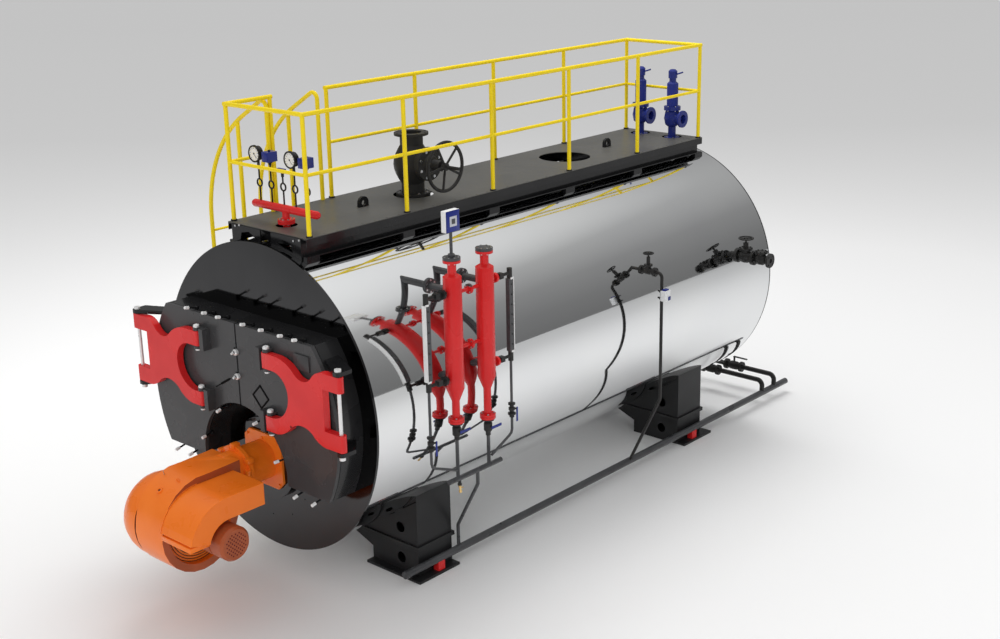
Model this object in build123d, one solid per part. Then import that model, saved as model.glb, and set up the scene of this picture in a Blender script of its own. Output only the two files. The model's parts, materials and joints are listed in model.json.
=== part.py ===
from build123d import *
import math
import os

# Industrial fire-tube steam boiler, millimetres, +Z up.
# Drawing frame: the shell's axis is the Y axis, the front plate's face is at y = 0 and the
# burner stands before it at negative y. The columns and pipes are on the +X side.
# The finished pieces are moved so that the origin is at floor level, under the shell's axis,
# midway between the two pairs of legs.

# Shell and its end plates
SHELL_RADIUS = 1448.0
SHELL_WALL = 12.0
BODY_LENGTH = 6417.0
GROUND_CLEARANCE = 392.0
AXIS_HEIGHT = SHELL_RADIUS + GROUND_CLEARANCE
FRONT_PLATE_RIM = 32.0
FRONT_PLATE_RADIUS = SHELL_RADIUS + FRONT_PLATE_RIM
FRONT_PLATE_THICK = 24.0
REAR_PLATE_THICK = 20.0
SEAT_GAP = 0.3

# Rear end fittings
FLUE_Z = 640.0
FLUE_RADIUS = 320.0
FLUE_LENGTH = 180.0
FLUE_FLANGE_RADIUS = 400.0
FLUE_FLANGE_THICK = 16.0
FLUE_WALL = 8.0
FLUE_BOLT_CIRCLE = 740.0
FLUE_BOLTS = 12
FLUE_BOLT_HOLE_RADIUS = 11.0
REAR_COVER_RADIUS = 330.0
REAR_COVER_THICK = 40.0

# Smokebox, a drum cut flat above and below, with an arch around the burner
SMOKEBOX_INSET = 143.0
SMOKEBOX_RADIUS = SHELL_RADIUS - SMOKEBOX_INSET
SMOKEBOX_TOP_Z = 798.0
SMOKEBOX_BOTTOM_Z = -614.0
SMOKEBOX_DEPTH = 254.0
SMOKEBOX_WALL = 12.0
FURNACE_Z = -578.0
ARCH_RADIUS = 603.0

# Doors and their hinge castings
DOOR_THICK = 40.0
DOOR_SEAT_GAP = 6.0
DOOR_GAP = 20.0
SEAM_CLAMP_Z = (531.0, 300.0)
SEAM_CLAMP_RADIUS = 30.0
SEAM_CLAMP_LENGTH = 34.0
SEAM_NOTCH_CLEARANCE = 7.0
DOOR_BOX_WIDTH = 198.0
DOOR_BOX_INSET = 91.0
DOOR_BOX_Z = (560.0, 700.0)
DOOR_BOX_HEIGHT = 16.0
DOOR_MARK_CENTRE = (304.0, 170.0)
DOOR_MARK_HALF = 118.0
DOOR_MARK_WIDTH = 14.0
DOOR_MARK_HEIGHT = 6.0
PLATE_THICK = 70.0
PLATE_STANDOFF = 22.0
INNER_PIN_X = 498.0
OUTER_PIN_REACH = 125.0
OUTER_PIN_X = SMOKEBOX_RADIUS + OUTER_PIN_REACH
PIN_RADIUS = 20.0
ROD_RADIUS = 17.0
PIN_CLEARANCE = 0.3
TOP_ARM_Z = (508.0, 650.0)
BOTTOM_ARM_Z = (-78.0, 60.0)
OUTER_TOP_ARM_Z = (492.0, 636.0)
OUTER_BOTTOM_ARM_Z = (-40.0, 112.0)
PLATE_WAIST = 147.0
OUTER_NOTCH_DEPTH = 172.0
ARM_EYE_RADIUS = 44.0
EAR_THICK = 26.0
EAR_CLEARANCE = 6.0
BRACKET_THICK = 36.0

# Burner
BURNER_PLATE_HALF = 262.0
BURNER_PLATE_THICK = 28.0
BURNER_PLATE_CORNER = 70.0
MOUNT_RING_RADIUS = 400.0
MOUNT_RING_DEPTH = 60.0
NECK_RADIUS = 190.0
FAN_Y = -990.0
FAN_Z = -890.0
FAN_RADIUS = 404.0
FAN_SPREAD = 96.0
FAN_LEFT_X = -200.0
FAN_RIGHT_X = 200.0
INLET_LEFT_X = -560.0
INLET_RADIUS = 396.0
HOOD_RIGHT_X = 630.0
HOOD_OUTER = 424.0
HOOD_INNER = 214.0
HOOD_REAR_Y = -590.0
HOOD_TIP_ANGLE = 166.0
MOTOR_RADIUS = 158.0
MOTOR_END_X = 706.0
INLET_SLOT = 26.0
INTAKE_RADIUS = 330.0
NECK_FLANGE_Y = -400.0
NECK_FLANGE_RADIUS = 236.0
NECK_FLANGE_THICK = 22.0
NECK_STEP = 90.0

# Legs
LEG_FRONT_Y = 835.0
LEG_LENGTH = 460.0
LEG_OUTER_X = 1062.0
LEG_INNER_X = 430.0
LEG_WALL = 14.0
LEG_NOSE_X = 175.0
LEG_NOSE_RISE = 245.0
LEG_KNEE_RISE = 148.0
LEG_CHIN = (282.0, 337.0)
LEG_THROAT_X = 335.0
LEG_SINK = 90.0
RIB_RISE = 310.0
RIB_HEIGHT = 40.0
RIB_PROUD = 22.0
FOOT_THICK = 26.0
FOOT_OUTER_X = 1166.0
FOOT_OVERHANG = 90.0
WEB_HOLE_RADIUS = 56.0
WEB_HOLE_X = 830.0
WEB_HOLE_RISE = (470.0, 150.0)
ANCHOR_X = 760.0
ANCHOR_INSET = 45.0
ANCHOR_HOLE_RADIUS = 14.0

# Deck over the shell
DECK_RISE = 126.0
DECK_TOP = SHELL_RADIUS + DECK_RISE
DECK_PLATE_THICK = 8.0
DECK_HALF_WIDTH = 550.0
DECK_FRONT_Y = 130.0
DECK_REAR_INSET = 162.0
DECK_REAR_Y = BODY_LENGTH - DECK_REAR_INSET
BEAM_DEPTH = 180.0
BEAM_FLANGE = 70.0
BEAM_WEB = 10.0
FOOT_WIDTH = 150.0
FOOT_SINK = 50.0
SADDLE_THICK = 12.0
SADDLE_INNER_X = 75.0
SADDLE_STRIP = 22.0
EDGE_STRIP_HEIGHT = 70.0
EDGE_STRIP_THICK = 6.0
CROSS_BEAM_WIDTH = 70.0
CROSS_BEAM_RAISE = 60.0
CROSS_BEAM_WALL = 8.0
CROSS_BEAM_INSET = 60.0
CROSS_BEAM_PITCH = 1200.0

# Guard rail
POST_INSET = 22.0
POST_X = DECK_HALF_WIDTH - POST_INSET
POST_FIRST_Y = 185.0
POST_LAST_INSET = 217.0
POST_COUNT = 6
POST_PITCH = (BODY_LENGTH - POST_LAST_INSET - POST_FIRST_Y) / (POST_COUNT - 1)
TUBE_RADIUS = 21.0
RAIL_HEIGHT = 1100.0
MID_RAIL_HEIGHT = 550.0
MID_RAIL_RADIUS = 17.0
GATE_POST_Y = 694.0

# Ladder on the far side
LADDER_Y = (648.0, 1270.0)
LADDER_STANDOFF = 57.0
LADDER_X = -(SHELL_RADIUS + LADDER_STANDOFF)
LADDER_BEND = 1250.0
ARCH_BEND = 60.0
ARCH_END_RUN = 20.0
LADDER_SLOPE = 0.588
RUNG_PITCH = 280.0
RUNG_RADIUS = 13.0
PROP_X = -975.0
PROP_SINK = 100.0
PROP_SPARE = 420.0

# Deck fittings
VALVE_Y = 1995.0
VALVE_BORE_RADIUS = 102.0
VALVE_BORE_DEPTH = 120.0
VALVE_WALL = 12.0
VALVE_FLANGE_RADIUS = 170.0
VALVE_FLANGE_THICK = 26.0
VALVE_JOINT_Z = DECK_TOP - 3
VALVE_BONNET_Z = DECK_TOP + 326
VALVE_TOP_Z = DECK_TOP + 618
VALVE_BOLT_CIRCLE = 295.0
VALVE_BOLTS = 8
VALVE_BOLT_HOLE_RADIUS = 11.0
VALVE_BELLY_RADIUS = 186.0
VALVE_BELLY_Z = (DECK_TOP + 116, DECK_TOP + 496)
VALVE_BONNET_X = 222.0
VALVE_BONNET_RADIUS = 165.0
VALVE_WHEEL_X = POST_X - 76
VALVE_WHEEL_RADIUS = 236.0
VALVE_WHEEL_RIM = 17.0
VALVE_CUTOUT_RADIUS = 200.0
VALVE_STEM_RADIUS = 16.0
VALVE_STEM_X = VALVE_WHEEL_X + 188
WHEEL_CLEARANCE = 0.1
MANHOLE_Y = BODY_LENGTH - 2054
MANHOLE_CUTOUT_RADIUS = 285.0
LUG_Y = (1316.0, BODY_LENGTH - 1291)
LUG_THICK = 30.0
LUG_HALF_WIDTH = 62.0
LUG_BASE_HALF = 85.0
LUG_TOP_Z = DECK_TOP + 98
LUG_HOLE_RADIUS = 26.0
LUG_SLOT_CLEARANCE = 6.0
HEADER_Y = 370.0
HEADER_Z = DECK_TOP + 149
HEADER_RADIUS = 37.0
HEADER_HALF = 430.0
HEADER_FLANGE_RADIUS = 80.0
HEADER_CUTOUT_RADIUS = 100.0
HEADER_RISER_RADIUS = 34.0
GAUGE_Z = DECK_TOP + 621
GAUGE_RADIUS = 80.0
SWITCH_Z = DECK_TOP + 609
SIPHON_X = (-346.0, -180.0, -13.0, 152.0, 320.0)
SIPHON_LOOP_Z = HEADER_Z + 200
SIPHON_SHORT_Z = HEADER_Z + 327
SIPHON_LOOP_RADIUS = 34.0
SIPHON_TUBE = 8.0
SAFETY_X = 231.0
SAFETY_Y = BODY_LENGTH - 327
SAFETY_JOINT_Z = DECK_TOP - 28
SAFETY_OUTLET_Z = DECK_TOP + 219
SAFETY_TOP_Z = DECK_TOP + 338
SAFETY_CUTOUT_RADIUS = 118.0
SAFETY_NECK_RADIUS = 46.0
SAFETY_BONNET_HEIGHT = 288.0

# Level columns on the +X side
COLUMN_X = SHELL_RADIUS + 100
COLUMN_Y = (912.0, 1332.0)
COLUMN_RADIUS = 84.0
COLUMN_TOP_Z = 1235.0
COLUMN_BOTTOM_Z = 195.0
COLUMN_NECK_Z = (-86.0, -173.0)
COLUMN_NECK_THICK = 46.0
COLUMN_LID_Z = 1412.0
COLUMN_LID_THICK = 50.0
BRANCH_RADIUS = 32.0
BRANCH_FLANGE_RUN = 200.0
LINK_RADIUS = 17.0
GAUGE_OFFSET = 335.0
GAUGE_GLASS_Z = (300.0, 1100.0)
TRANSMITTER_Z = 1640.0
STEAM_BRANCH_Z = 1100.0
WATER_BRANCH_Z = 300.0
LINK_Z = (1075.0, 560.0)
DRAIN_Z = -690.0
DRAIN_VALVE_HEIGHT = 170.0
DRAIN_LEG_Y = (1175.0, 1340.0)
DRAIN_LEG_DROP = 140.0
DRAIN_LEG_RISE = 255.0
DRAIN_PIPE_RADIUS = 17.0
COLLECTOR_Y = (790.0, 1500.0)
FLOOR_PIPE_X = FOOT_OUTER_X - 54
FLOOR_PIPE_Z = -AXIS_HEIGHT + 140
FLOOR_PIPE_RADIUS = 38.0
FLOOR_PIPE_Y = (600.0, BODY_LENGTH + 1040)

# Sampling line and feed line
SAMPLE_Y = BODY_LENGTH - 2546
SAMPLE_Z = 627.0
SAMPLE_PIPE_RADIUS = 17.0
SAMPLE_VALVE_X = SHELL_RADIUS + 67
SAMPLE_JOINT_REACH = 85.0
SAMPLE_DROP_X = SHELL_RADIUS + 242
SAMPLE_END_X = SAMPLE_VALVE_X + 115
SAMPLE_KNEE_Z = -753.0
SAMPLE_LEAN = 249.0
SAMPLE_BOX_Z = 400.0
SAMPLE_STEM_RADIUS = 9.0
SAMPLE_WHEEL_Z = SAMPLE_Z + 188
FEED_Y = BODY_LENGTH - 754
FEED_Z = 410.0
FEED_WHEEL_Z = FEED_Z + 210
FEED_JOINT_X = (SHELL_RADIUS + 20, SHELL_RADIUS + 230)
FEED_VALVE_X = SHELL_RADIUS + 120
FEED_CHECK_X = SHELL_RADIUS + 324
FEED_FLANGE_RADIUS = 82.0
FEED_PIPE_RADIUS = 34.0
FEED_STEM_RADIUS = 11.0
FEED_END_X = SHELL_RADIUS + 448
FEED_BOLT_CIRCLE = 125.0
FEED_BOLTS = 4
FEED_BOLT_HOLE_RADIUS = 9.0

# Blowdown lines at the rear
BLOWDOWN_Z = -AXIS_HEIGHT + 300
BLOWDOWN_NOZZLE_Y = BODY_LENGTH - 267
BLOWDOWN_RADIUS = 30.0
BLOWDOWN_NOZZLE_X = 120.0
BLOWDOWN_VALVE_X = (350.0, 520.0)
BLOWDOWN_Y = (BODY_LENGTH + 473, BODY_LENGTH + 753)


# Helpers: plain solids placed in the drawing frame


def rod(start, end, radius):
    """A round bar between two points."""
    start, end = Vector(*start), Vector(*end)
    way = end - start
    return Solid.make_cylinder(radius, way.length, Plane(origin=start, z_dir=way))


def tube(start, end, radius, bore):
    """A round tube between two points, with its bore cut through."""
    return rod(start, end, radius) - rod(start, end, bore)


def slab(x, y, z):
    """A box given by its two limits along each axis."""
    box = Solid.make_box(x[1] - x[0], y[1] - y[0], z[1] - z[0])
    return box.moved(Location((x[0], y[0], z[0])))


def plate_xz(points, y):
    """A flat plate whose outline is drawn in X and Z, between two limits of Y."""
    face = Face(Wire.make_polygon([Vector(px, y[0], pz) for px, pz in points]))
    return Solid.extrude(face, Vector(0, y[1] - y[0], 0))


def plate_yz(points, x):
    """A flat plate whose outline is drawn in Y and Z, between two limits of X."""
    face = Face(Wire.make_polygon([Vector(x[0], py, pz) for py, pz in points]))
    return Solid.extrude(face, Vector(x[1] - x[0], 0, 0))


def plate_xy(points, z):
    """A flat plate whose outline is drawn in X and Y, between two limits of Z."""
    face = Face(Wire.make_polygon([Vector(px, py, z[0]) for px, py in points]))
    return Solid.extrude(face, Vector(0, 0, z[1] - z[0]))


def turned(profile, origin, axis):
    """A solid turned about an axis: the profile lists (radius, distance along the axis)."""
    face = Face(Wire.make_polygon([Vector(r, 0, s) for r, s in profile]))
    solid = Solid.revolve(face, 360, Axis.Z)
    return solid.moved(Plane(origin=Vector(*origin), z_dir=Vector(*axis)).location)


def bent_pipe(points, bends, radius):
    """A round pipe along straight runs; each corner has its own bend radius."""
    spots = [Vector(*point) for point in points]
    if not isinstance(bends, (list, tuple)):
        bends = [bends] * (len(spots) - 2)
    edges, last = [], spots[0]
    for before, corner, after, bend in zip(spots, spots[1:], spots[2:], bends):
        into, out = (corner - before).normalized(), (after - corner).normalized()
        half_turn = math.radians(into.get_angle(out)) / 2
        reach = bend * math.tan(half_turn)
        inward = (out - into).normalized()
        middle = corner + inward * (bend / math.cos(half_turn) - bend)
        start, end = corner - into * reach, corner + out * reach
        if (start - last).length > 0.01:
            edges.append(Edge.make_line(last, start))
        edges.append(Edge.make_three_point_arc(start, middle, end))
        last = end
    edges.append(Edge.make_line(last, spots[-1]))
    section = Plane(origin=spots[0], z_dir=spots[1] - spots[0]) * Circle(radius)
    return sweep(section, path=Wire(edges)).solid()


def swell(low, high, neck, belly, steps=6):
    """A bulged stretch of a profile, from a neck over a belly to a neck: (radius, distance)."""
    ratios = [index / steps for index in range(steps + 1)]
    return [(neck + (belly - neck) * math.sin(math.pi * t), low + (high - low) * t) for t in ratios]


def arc_face(start, stretches, y):
    """A face in X and Z at one Y; a stretch is a corner, or an arc's middle and its end."""
    def spot(point):
        return Vector(point[0], y, point[1])

    edges, last = [], spot(start)
    for stretch in stretches:
        end = spot(stretch[-1])
        edge = Edge.make_line(last, end) if len(stretch) == 1 else Edge.make_three_point_arc(
            last, spot(stretch[0]), end)
        edges.append(edge)
        last = end
    return Face(Wire(edges))


def cut_by(solid, cutters):
    """The pieces of a solid that are left after the cutters, scraps aside."""
    for cutter in cutters:
        solid -= cutter
    return [piece for piece in solid.solids() if piece.volume > 2000]


def flange_pair(origin, axis, radius, thick=18.0):
    """Two bolted flanges on one pipe, face to face about the origin."""
    rim = radius * 0.62
    profile = [(0, -thick), (rim, -thick), (radius, -thick * 0.9), (radius, -1), (rim, -1), (rim, 1),
               (radius, 1), (radius, thick * 0.9), (rim, thick), (0, thick)]
    return turned(profile, origin, axis)


def handwheel(centre, axis, radius, rim, hub, spokes):
    """A cast handwheel: a round rim, a hub and straight spokes."""
    plane = Plane(origin=Vector(*centre), z_dir=Vector(*axis))
    ring = Solid.make_torus(radius, rim, plane)
    core = Solid.make_cylinder(hub, rim * 2.4, plane.offset(-rim * 1.2))
    bars = []
    for index in range(spokes):
        turn = 2 * math.pi * (index + 0.37) / spokes
        way = plane.x_dir * math.cos(turn) + plane.y_dir * math.sin(turn)
        start, end = plane.origin + way * hub * 0.6, plane.origin + way * radius
        bars.append(rod(tuple(start), tuple(end), rim * 0.7))
    return ring.fuse(core, *bars)


def shell_core(gap=SEAT_GAP):
    """The space of the shell, a little larger, which trims what stands on it."""
    return rod((0, -50, 0), (0, BODY_LENGTH + 50, 0), SHELL_RADIUS + gap)


def shell_z(x):
    """Height of the shell's surface above its axis at a distance from the centre plane."""
    return math.sqrt(SHELL_RADIUS ** 2 - x ** 2)


def shell_x(z):
    """Distance of the shell's surface from the centre plane at a height above the axis."""
    return math.sqrt(SHELL_RADIUS ** 2 - z ** 2)


def seated(solid):
    """The outer part of a solid, trimmed where it stands on the shell."""
    pieces = (solid - shell_core()).solids()
    return max(pieces, key=lambda piece: piece.volume)


def both_sides(solid):
    """A solid and its mirror image on the other side of the centre plane."""
    return [solid, solid.mirror(Plane.YZ)]


# Shell and ends


def make_shell():
    """The round cladding, closed by the front and rear plates."""
    start, end = FRONT_PLATE_THICK, BODY_LENGTH - REAR_PLATE_THICK
    return [tube((0, start, 0), (0, end, 0), SHELL_RADIUS, SHELL_RADIUS - SHELL_WALL)]


def make_front_plate():
    """The round front plate, a little larger than the shell."""
    return [rod((0, 0, 0), (0, FRONT_PLATE_THICK, 0), FRONT_PLATE_RADIUS)]


def make_rear_plate():
    """The rear plate that closes the shell."""
    return [rod((0, BODY_LENGTH - REAR_PLATE_THICK, 0), (0, BODY_LENGTH, 0), SHELL_RADIUS)]


def make_flue_outlet():
    """The round flue outlet on the rear plate, with its bolted flange."""
    start, end = BODY_LENGTH, BODY_LENGTH + FLUE_LENGTH
    bore = FLUE_RADIUS - FLUE_WALL
    profile = [(bore, 0), (FLUE_RADIUS, 0), (FLUE_RADIUS, FLUE_LENGTH - FLUE_FLANGE_THICK),
               (FLUE_FLANGE_RADIUS, FLUE_LENGTH - FLUE_FLANGE_THICK),
               (FLUE_FLANGE_RADIUS, FLUE_LENGTH), (bore, FLUE_LENGTH)]
    outlet = turned(profile, (0, start, FLUE_Z), (0, 1, 0))
    for index in range(FLUE_BOLTS):
        turn = 2 * math.pi * (index + 0.5) / FLUE_BOLTS
        x = FLUE_BOLT_CIRCLE / 2 * math.cos(turn)
        z = FLUE_Z + FLUE_BOLT_CIRCLE / 2 * math.sin(turn)
        outlet -= rod((x, end - FLUE_FLANGE_THICK - 5, z), (x, end + 5, z), FLUE_BOLT_HOLE_RADIUS)
    return [outlet]


def make_rear_cover():
    """The round access cover at the furnace's rear end, with its handle."""
    face_y = BODY_LENGTH + REAR_COVER_THICK
    profile = [(0, 0), (REAR_COVER_RADIUS, 0), (REAR_COVER_RADIUS, REAR_COVER_THICK * 0.5),
               (REAR_COVER_RADIUS - 45, REAR_COVER_THICK * 0.5),
               (REAR_COVER_RADIUS - 60, REAR_COVER_THICK), (0, REAR_COVER_THICK)]
    cover = turned(profile, (0, BODY_LENGTH, FURNACE_Z), (0, 1, 0))
    grip = bent_pipe([(-90, face_y - 5, FURNACE_Z), (-90, face_y + 60, FURNACE_Z),
                      (90, face_y + 60, FURNACE_Z), (90, face_y - 5, FURNACE_Z)], 25, 10)
    return [cover.fuse(grip)]


# Smokebox


def smokebox_half_width(z):
    """Half the smokebox's width at a height."""
    return math.sqrt(SMOKEBOX_RADIUS ** 2 - z ** 2)


def smokebox_y():
    """The smokebox's depth, from its front rim to the front plate."""
    return (-SMOKEBOX_DEPTH, 0)


def make_smokebox_roof():
    """The flat roof of the smokebox."""
    low = SMOKEBOX_TOP_Z - SMOKEBOX_WALL
    half = smokebox_half_width(SMOKEBOX_TOP_Z)
    low_half = smokebox_half_width(low)
    outline = [(-half, SMOKEBOX_TOP_Z), (half, SMOKEBOX_TOP_Z), (low_half, low), (-low_half, low)]
    return [plate_xz(outline, smokebox_y())]


def make_smokebox_sides():
    """The two curved side walls of the smokebox, between its roof and its floor."""
    ring = tube((0, -SMOKEBOX_DEPTH, 0), (0, 0, 0), SMOKEBOX_RADIUS, SMOKEBOX_RADIUS - SMOKEBOX_WALL)
    window = slab((0, 2 * SMOKEBOX_RADIUS), (-SMOKEBOX_DEPTH - 5, 5),
                  (SMOKEBOX_BOTTOM_Z + SMOKEBOX_WALL, SMOKEBOX_TOP_Z - SMOKEBOX_WALL))
    return both_sides((ring & window).solid())


def make_smokebox_floor():
    """The flat floor of the smokebox, on both sides of the burner arch."""
    top = SMOKEBOX_BOTTOM_Z + SMOKEBOX_WALL
    inner = ARCH_RADIUS
    strip = plate_xz([(inner, SMOKEBOX_BOTTOM_Z),
                      (smokebox_half_width(SMOKEBOX_BOTTOM_Z), SMOKEBOX_BOTTOM_Z),
                      (smokebox_half_width(top), top), (inner, top)], smokebox_y())
    return both_sides(strip)


def make_smokebox_arch():
    """The arched wall that keeps the burner's space clear of the smokebox."""
    top = SMOKEBOX_BOTTOM_Z + SMOKEBOX_WALL
    outer = ARCH_RADIUS + SMOKEBOX_WALL
    ring = tube((0, -SMOKEBOX_DEPTH, FURNACE_Z), (0, 0, FURNACE_Z), outer, ARCH_RADIUS)
    arch = ring & slab((-outer, outer), (-SMOKEBOX_DEPTH, 0), (FURNACE_Z, FURNACE_Z + 2 * outer))
    legs = [slab((side * ARCH_RADIUS, side * outer) if side > 0 else (-outer, -ARCH_RADIUS),
                 smokebox_y(), (top, FURNACE_Z)) for side in (-1, 1)]
    return [arch.solid().fuse(*legs)]


def make_hinge_brackets():
    """The brackets on the smokebox's sides that carry the hinge rods, two on each side."""
    hinge_y = hinge_axis_y()
    brackets = []
    for low, wall_x in bracket_levels():
        outline = [(OUTER_PIN_X + 40, hinge_y - 20), (OUTER_PIN_X + 20, hinge_y - 40),
                   (OUTER_PIN_X - 20, hinge_y - 40), (OUTER_PIN_X - 40, hinge_y - 20),
                   (wall_x, -SMOKEBOX_DEPTH * 0.8), (wall_x, -SMOKEBOX_DEPTH * 0.2),
                   (OUTER_PIN_X + 40, hinge_y + 120)]
        bracket = plate_xy(outline, (low, low + BRACKET_THICK))
        bracket -= rod((0, -SMOKEBOX_DEPTH - 400, 0), (0, 5, 0), SMOKEBOX_RADIUS + SEAT_GAP) & slab(
            (0, SMOKEBOX_RADIUS + 5), (-SMOKEBOX_DEPTH - 2, 5), (SMOKEBOX_BOTTOM_Z, SMOKEBOX_TOP_Z))
        bracket -= rod((OUTER_PIN_X, hinge_y, low - 5), (OUTER_PIN_X, hinge_y, low + BRACKET_THICK + 5),
                       ROD_RADIUS + PIN_CLEARANCE)
        brackets += both_sides(max(bracket.solids(), key=lambda piece: piece.volume))
    return brackets


def bracket_levels():
    """The lower face of each hinge bracket, and how far in it starts."""
    upper = OUTER_TOP_ARM_Z[1] + EAR_CLEARANCE
    lower = OUTER_BOTTOM_ARM_Z[0] - EAR_CLEARANCE - BRACKET_THICK
    return [(upper, smokebox_half_width(upper + BRACKET_THICK) - 30),
            (lower, smokebox_half_width(lower) - 30)]


def make_hinge_rods():
    """The two long hinge rods, with a head above and a nut below."""
    upper, lower = bracket_levels()
    top = upper[0] + BRACKET_THICK
    bottom = lower[0]
    y = hinge_axis_y()
    profile = [(0, bottom - 34), (27, bottom - 34), (27, bottom), (ROD_RADIUS, bottom), (ROD_RADIUS, top),
               (30, top), (30, top + 22), (0, top + 22)]
    return both_sides(turned(profile, (OUTER_PIN_X, y, 0), (0, 0, 1)))


# Doors


def door_front_y():
    """The doors' front face."""
    return -(SMOKEBOX_DEPTH + DOOR_SEAT_GAP + DOOR_THICK)


def hinge_axis_y():
    """The hinge axes lie in the middle of the castings' thickness."""
    return door_front_y() - PLATE_STANDOFF - PLATE_THICK / 2


def make_door(side):
    """A smokebox door, a half disc with flat top and bottom and a quarter of the burner arch."""
    front, back = door_front_y(), door_front_y() + DOOR_THICK
    blank = rod((0, front, 0), (0, back, 0), SMOKEBOX_RADIUS)
    inner = DOOR_GAP / 2
    blank &= slab((inner, SMOKEBOX_RADIUS), (front, back), (SMOKEBOX_BOTTOM_Z, SMOKEBOX_TOP_Z))
    blank -= rod((0, front - 5, FURNACE_Z), (0, back + 5, FURNACE_Z), ARCH_RADIUS)
    blank -= slab((0, ARCH_RADIUS), (front - 5, back + 5), (SMOKEBOX_BOTTOM_Z - 5, FURNACE_Z))
    door = blank.solid()
    for ear in door_ears():
        door = door.fuse(ear)
    if side < 0:
        door = door.mirror(Plane.YZ)
        reach = SEAM_CLAMP_RADIUS + SEAM_NOTCH_CLEARANCE
        for z in SEAM_CLAMP_Z:
            door -= slab((-reach, 0), (front - 5, back + 5), (z - reach, z + reach))
        return [door]
    box_edge = smokebox_half_width(DOOR_BOX_Z[1]) - DOOR_BOX_INSET
    lid = slab((box_edge - DOOR_BOX_WIDTH, box_edge), (front - DOOR_BOX_HEIGHT, front), DOOR_BOX_Z)
    mark = door_mark(front)
    return [door.fuse(lid).fuse(mark)]


def door_mark(front):
    """The raised square frame, set on its corner, on the right-hand door."""
    x, z = DOOR_MARK_CENTRE
    half = DOOR_MARK_HALF
    inner = half - DOOR_MARK_WIDTH * math.sqrt(2)
    y = (front - DOOR_MARK_HEIGHT, front)

    def lozenge(size, depth):
        return plate_xz([(x - size, z), (x, z + size), (x + size, z), (x, z - size)], depth)

    return lozenge(half, y) - lozenge(inner, (y[0] - 5, y[1]))


def door_ears():
    """The ears on a door's face that hold the inner hinge pins, above and below each arm."""
    y = hinge_axis_y()
    front = door_front_y()
    ears = []
    for low, high in (TOP_ARM_Z, BOTTOM_ARM_Z):
        for z in (low - EAR_CLEARANCE - EAR_THICK, high + EAR_CLEARANCE):
            block = slab((INNER_PIN_X - 34, INNER_PIN_X + 34), (y - 8, front), (z, z + EAR_THICK))
            nose = rod((INNER_PIN_X, y, z), (INNER_PIN_X, y, z + EAR_THICK), 34)
            ears.append(block.fuse(nose))
        back_low, back_high = low - EAR_CLEARANCE - EAR_THICK, high + EAR_CLEARANCE + EAR_THICK
        ears.append(slab((INNER_PIN_X - 120, INNER_PIN_X - 64), (y - 30, front), (back_low, back_high)))
        for z in (back_low, high + EAR_CLEARANCE):
            ears.append(slab((INNER_PIN_X - 120, INNER_PIN_X), (y + 10, front), (z, z + EAR_THICK)))
    bore = rod((INNER_PIN_X, y, SMOKEBOX_BOTTOM_Z), (INNER_PIN_X, y, SMOKEBOX_TOP_Z),
               PIN_RADIUS + PIN_CLEARANCE)
    return [ear - bore for ear in ears]


def make_hinge_plate(side):
    """The cast hinge plate of one door: two waists, a round cut inside and a notch outside."""
    y = hinge_axis_y()
    front, back = y - PLATE_THICK / 2, y + PLATE_THICK / 2
    left, right, waist = INNER_PIN_X, OUTER_PIN_X, PLATE_WAIST
    low, high = BOTTOM_ARM_Z[0], TOP_ARM_Z[1]
    far_low, far_high = OUTER_BOTTOM_ARM_Z[0], OUTER_TOP_ARM_Z[1]
    face = arc_face((left, high), [
        [(left + 120, high)], [(left + 285, high - waist * 0.2), (left + 395, high - waist * 0.7)],
        [(left + 525, high - waist), (right - 310, high - waist * 0.6)],
        [(right - 240, far_high - waist * 0.12), (right - 130, far_high)], [(right, far_high)],
        [(right, far_low)], [(right - 120, far_low)],
        [(right - 240, far_low + waist * 0.12), (right - 330, low + waist * 0.8)],
        [(left + 425, low + waist * 1.08), (left + 310, low + waist * 0.7)],
        [(left + 215, low + waist * 0.2), (left + 110, low)], [(left, low)], [(left, high)]], front)
    plate = Solid.extrude(face, Vector(0, PLATE_THICK, 0))
    bottom, top, end = BOTTOM_ARM_Z[1], TOP_ARM_Z[0], left - ARM_EYE_RADIUS - 5
    cut = arc_face((end, bottom), [
        [(left + 40, bottom)], [(left + 232, bottom + 77), (left + 299, bottom + 242)],
        [(left + 247, top - 63), (left + 102, top)], [(end, top)], [(end, bottom)]], front - 5)
    plate -= Solid.extrude(cut, Vector(0, PLATE_THICK + 10, 0))
    notch_z = (OUTER_BOTTOM_ARM_Z[1], OUTER_TOP_ARM_Z[0])
    plate -= slab((right - OUTER_NOTCH_DEPTH, right + ARM_EYE_RADIUS), (front - 5, back + 5), notch_z)
    for x, arms, pin in ((left, (TOP_ARM_Z, BOTTOM_ARM_Z), PIN_RADIUS),
                         (right, (OUTER_TOP_ARM_Z, OUTER_BOTTOM_ARM_Z), ROD_RADIUS)):
        for arm in arms:
            eye = rod((x, y, arm[0]), (x, y, arm[1]), ARM_EYE_RADIUS) & slab(
                (x - ARM_EYE_RADIUS, x + ARM_EYE_RADIUS), (front, back), arm)
            bore = rod((x, y, arm[0] - 5), (x, y, arm[1] + 5), pin + PIN_CLEARANCE)
            plate = plate.fuse(eye) - bore
    plate = plate.solid()
    return [plate if side > 0 else plate.mirror(Plane.YZ)]


def make_door_pins(side):
    """The inner hinge pins of one door, with their heads and nuts."""
    y = hinge_axis_y()
    pins = []
    for low, high in (TOP_ARM_Z, BOTTOM_ARM_Z):
        top = high + EAR_CLEARANCE + EAR_THICK
        bottom = low - EAR_CLEARANCE - EAR_THICK
        profile = [(0, bottom - 16), (26, bottom - 16), (26, bottom), (PIN_RADIUS, bottom),
                   (PIN_RADIUS, top), (30, top), (30, top + 18), (0, top + 18)]
        pin = turned(profile, (INNER_PIN_X, y, 0), (0, 0, 1))
        pins.append(pin if side > 0 else pin.mirror(Plane.YZ))
    return pins


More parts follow.
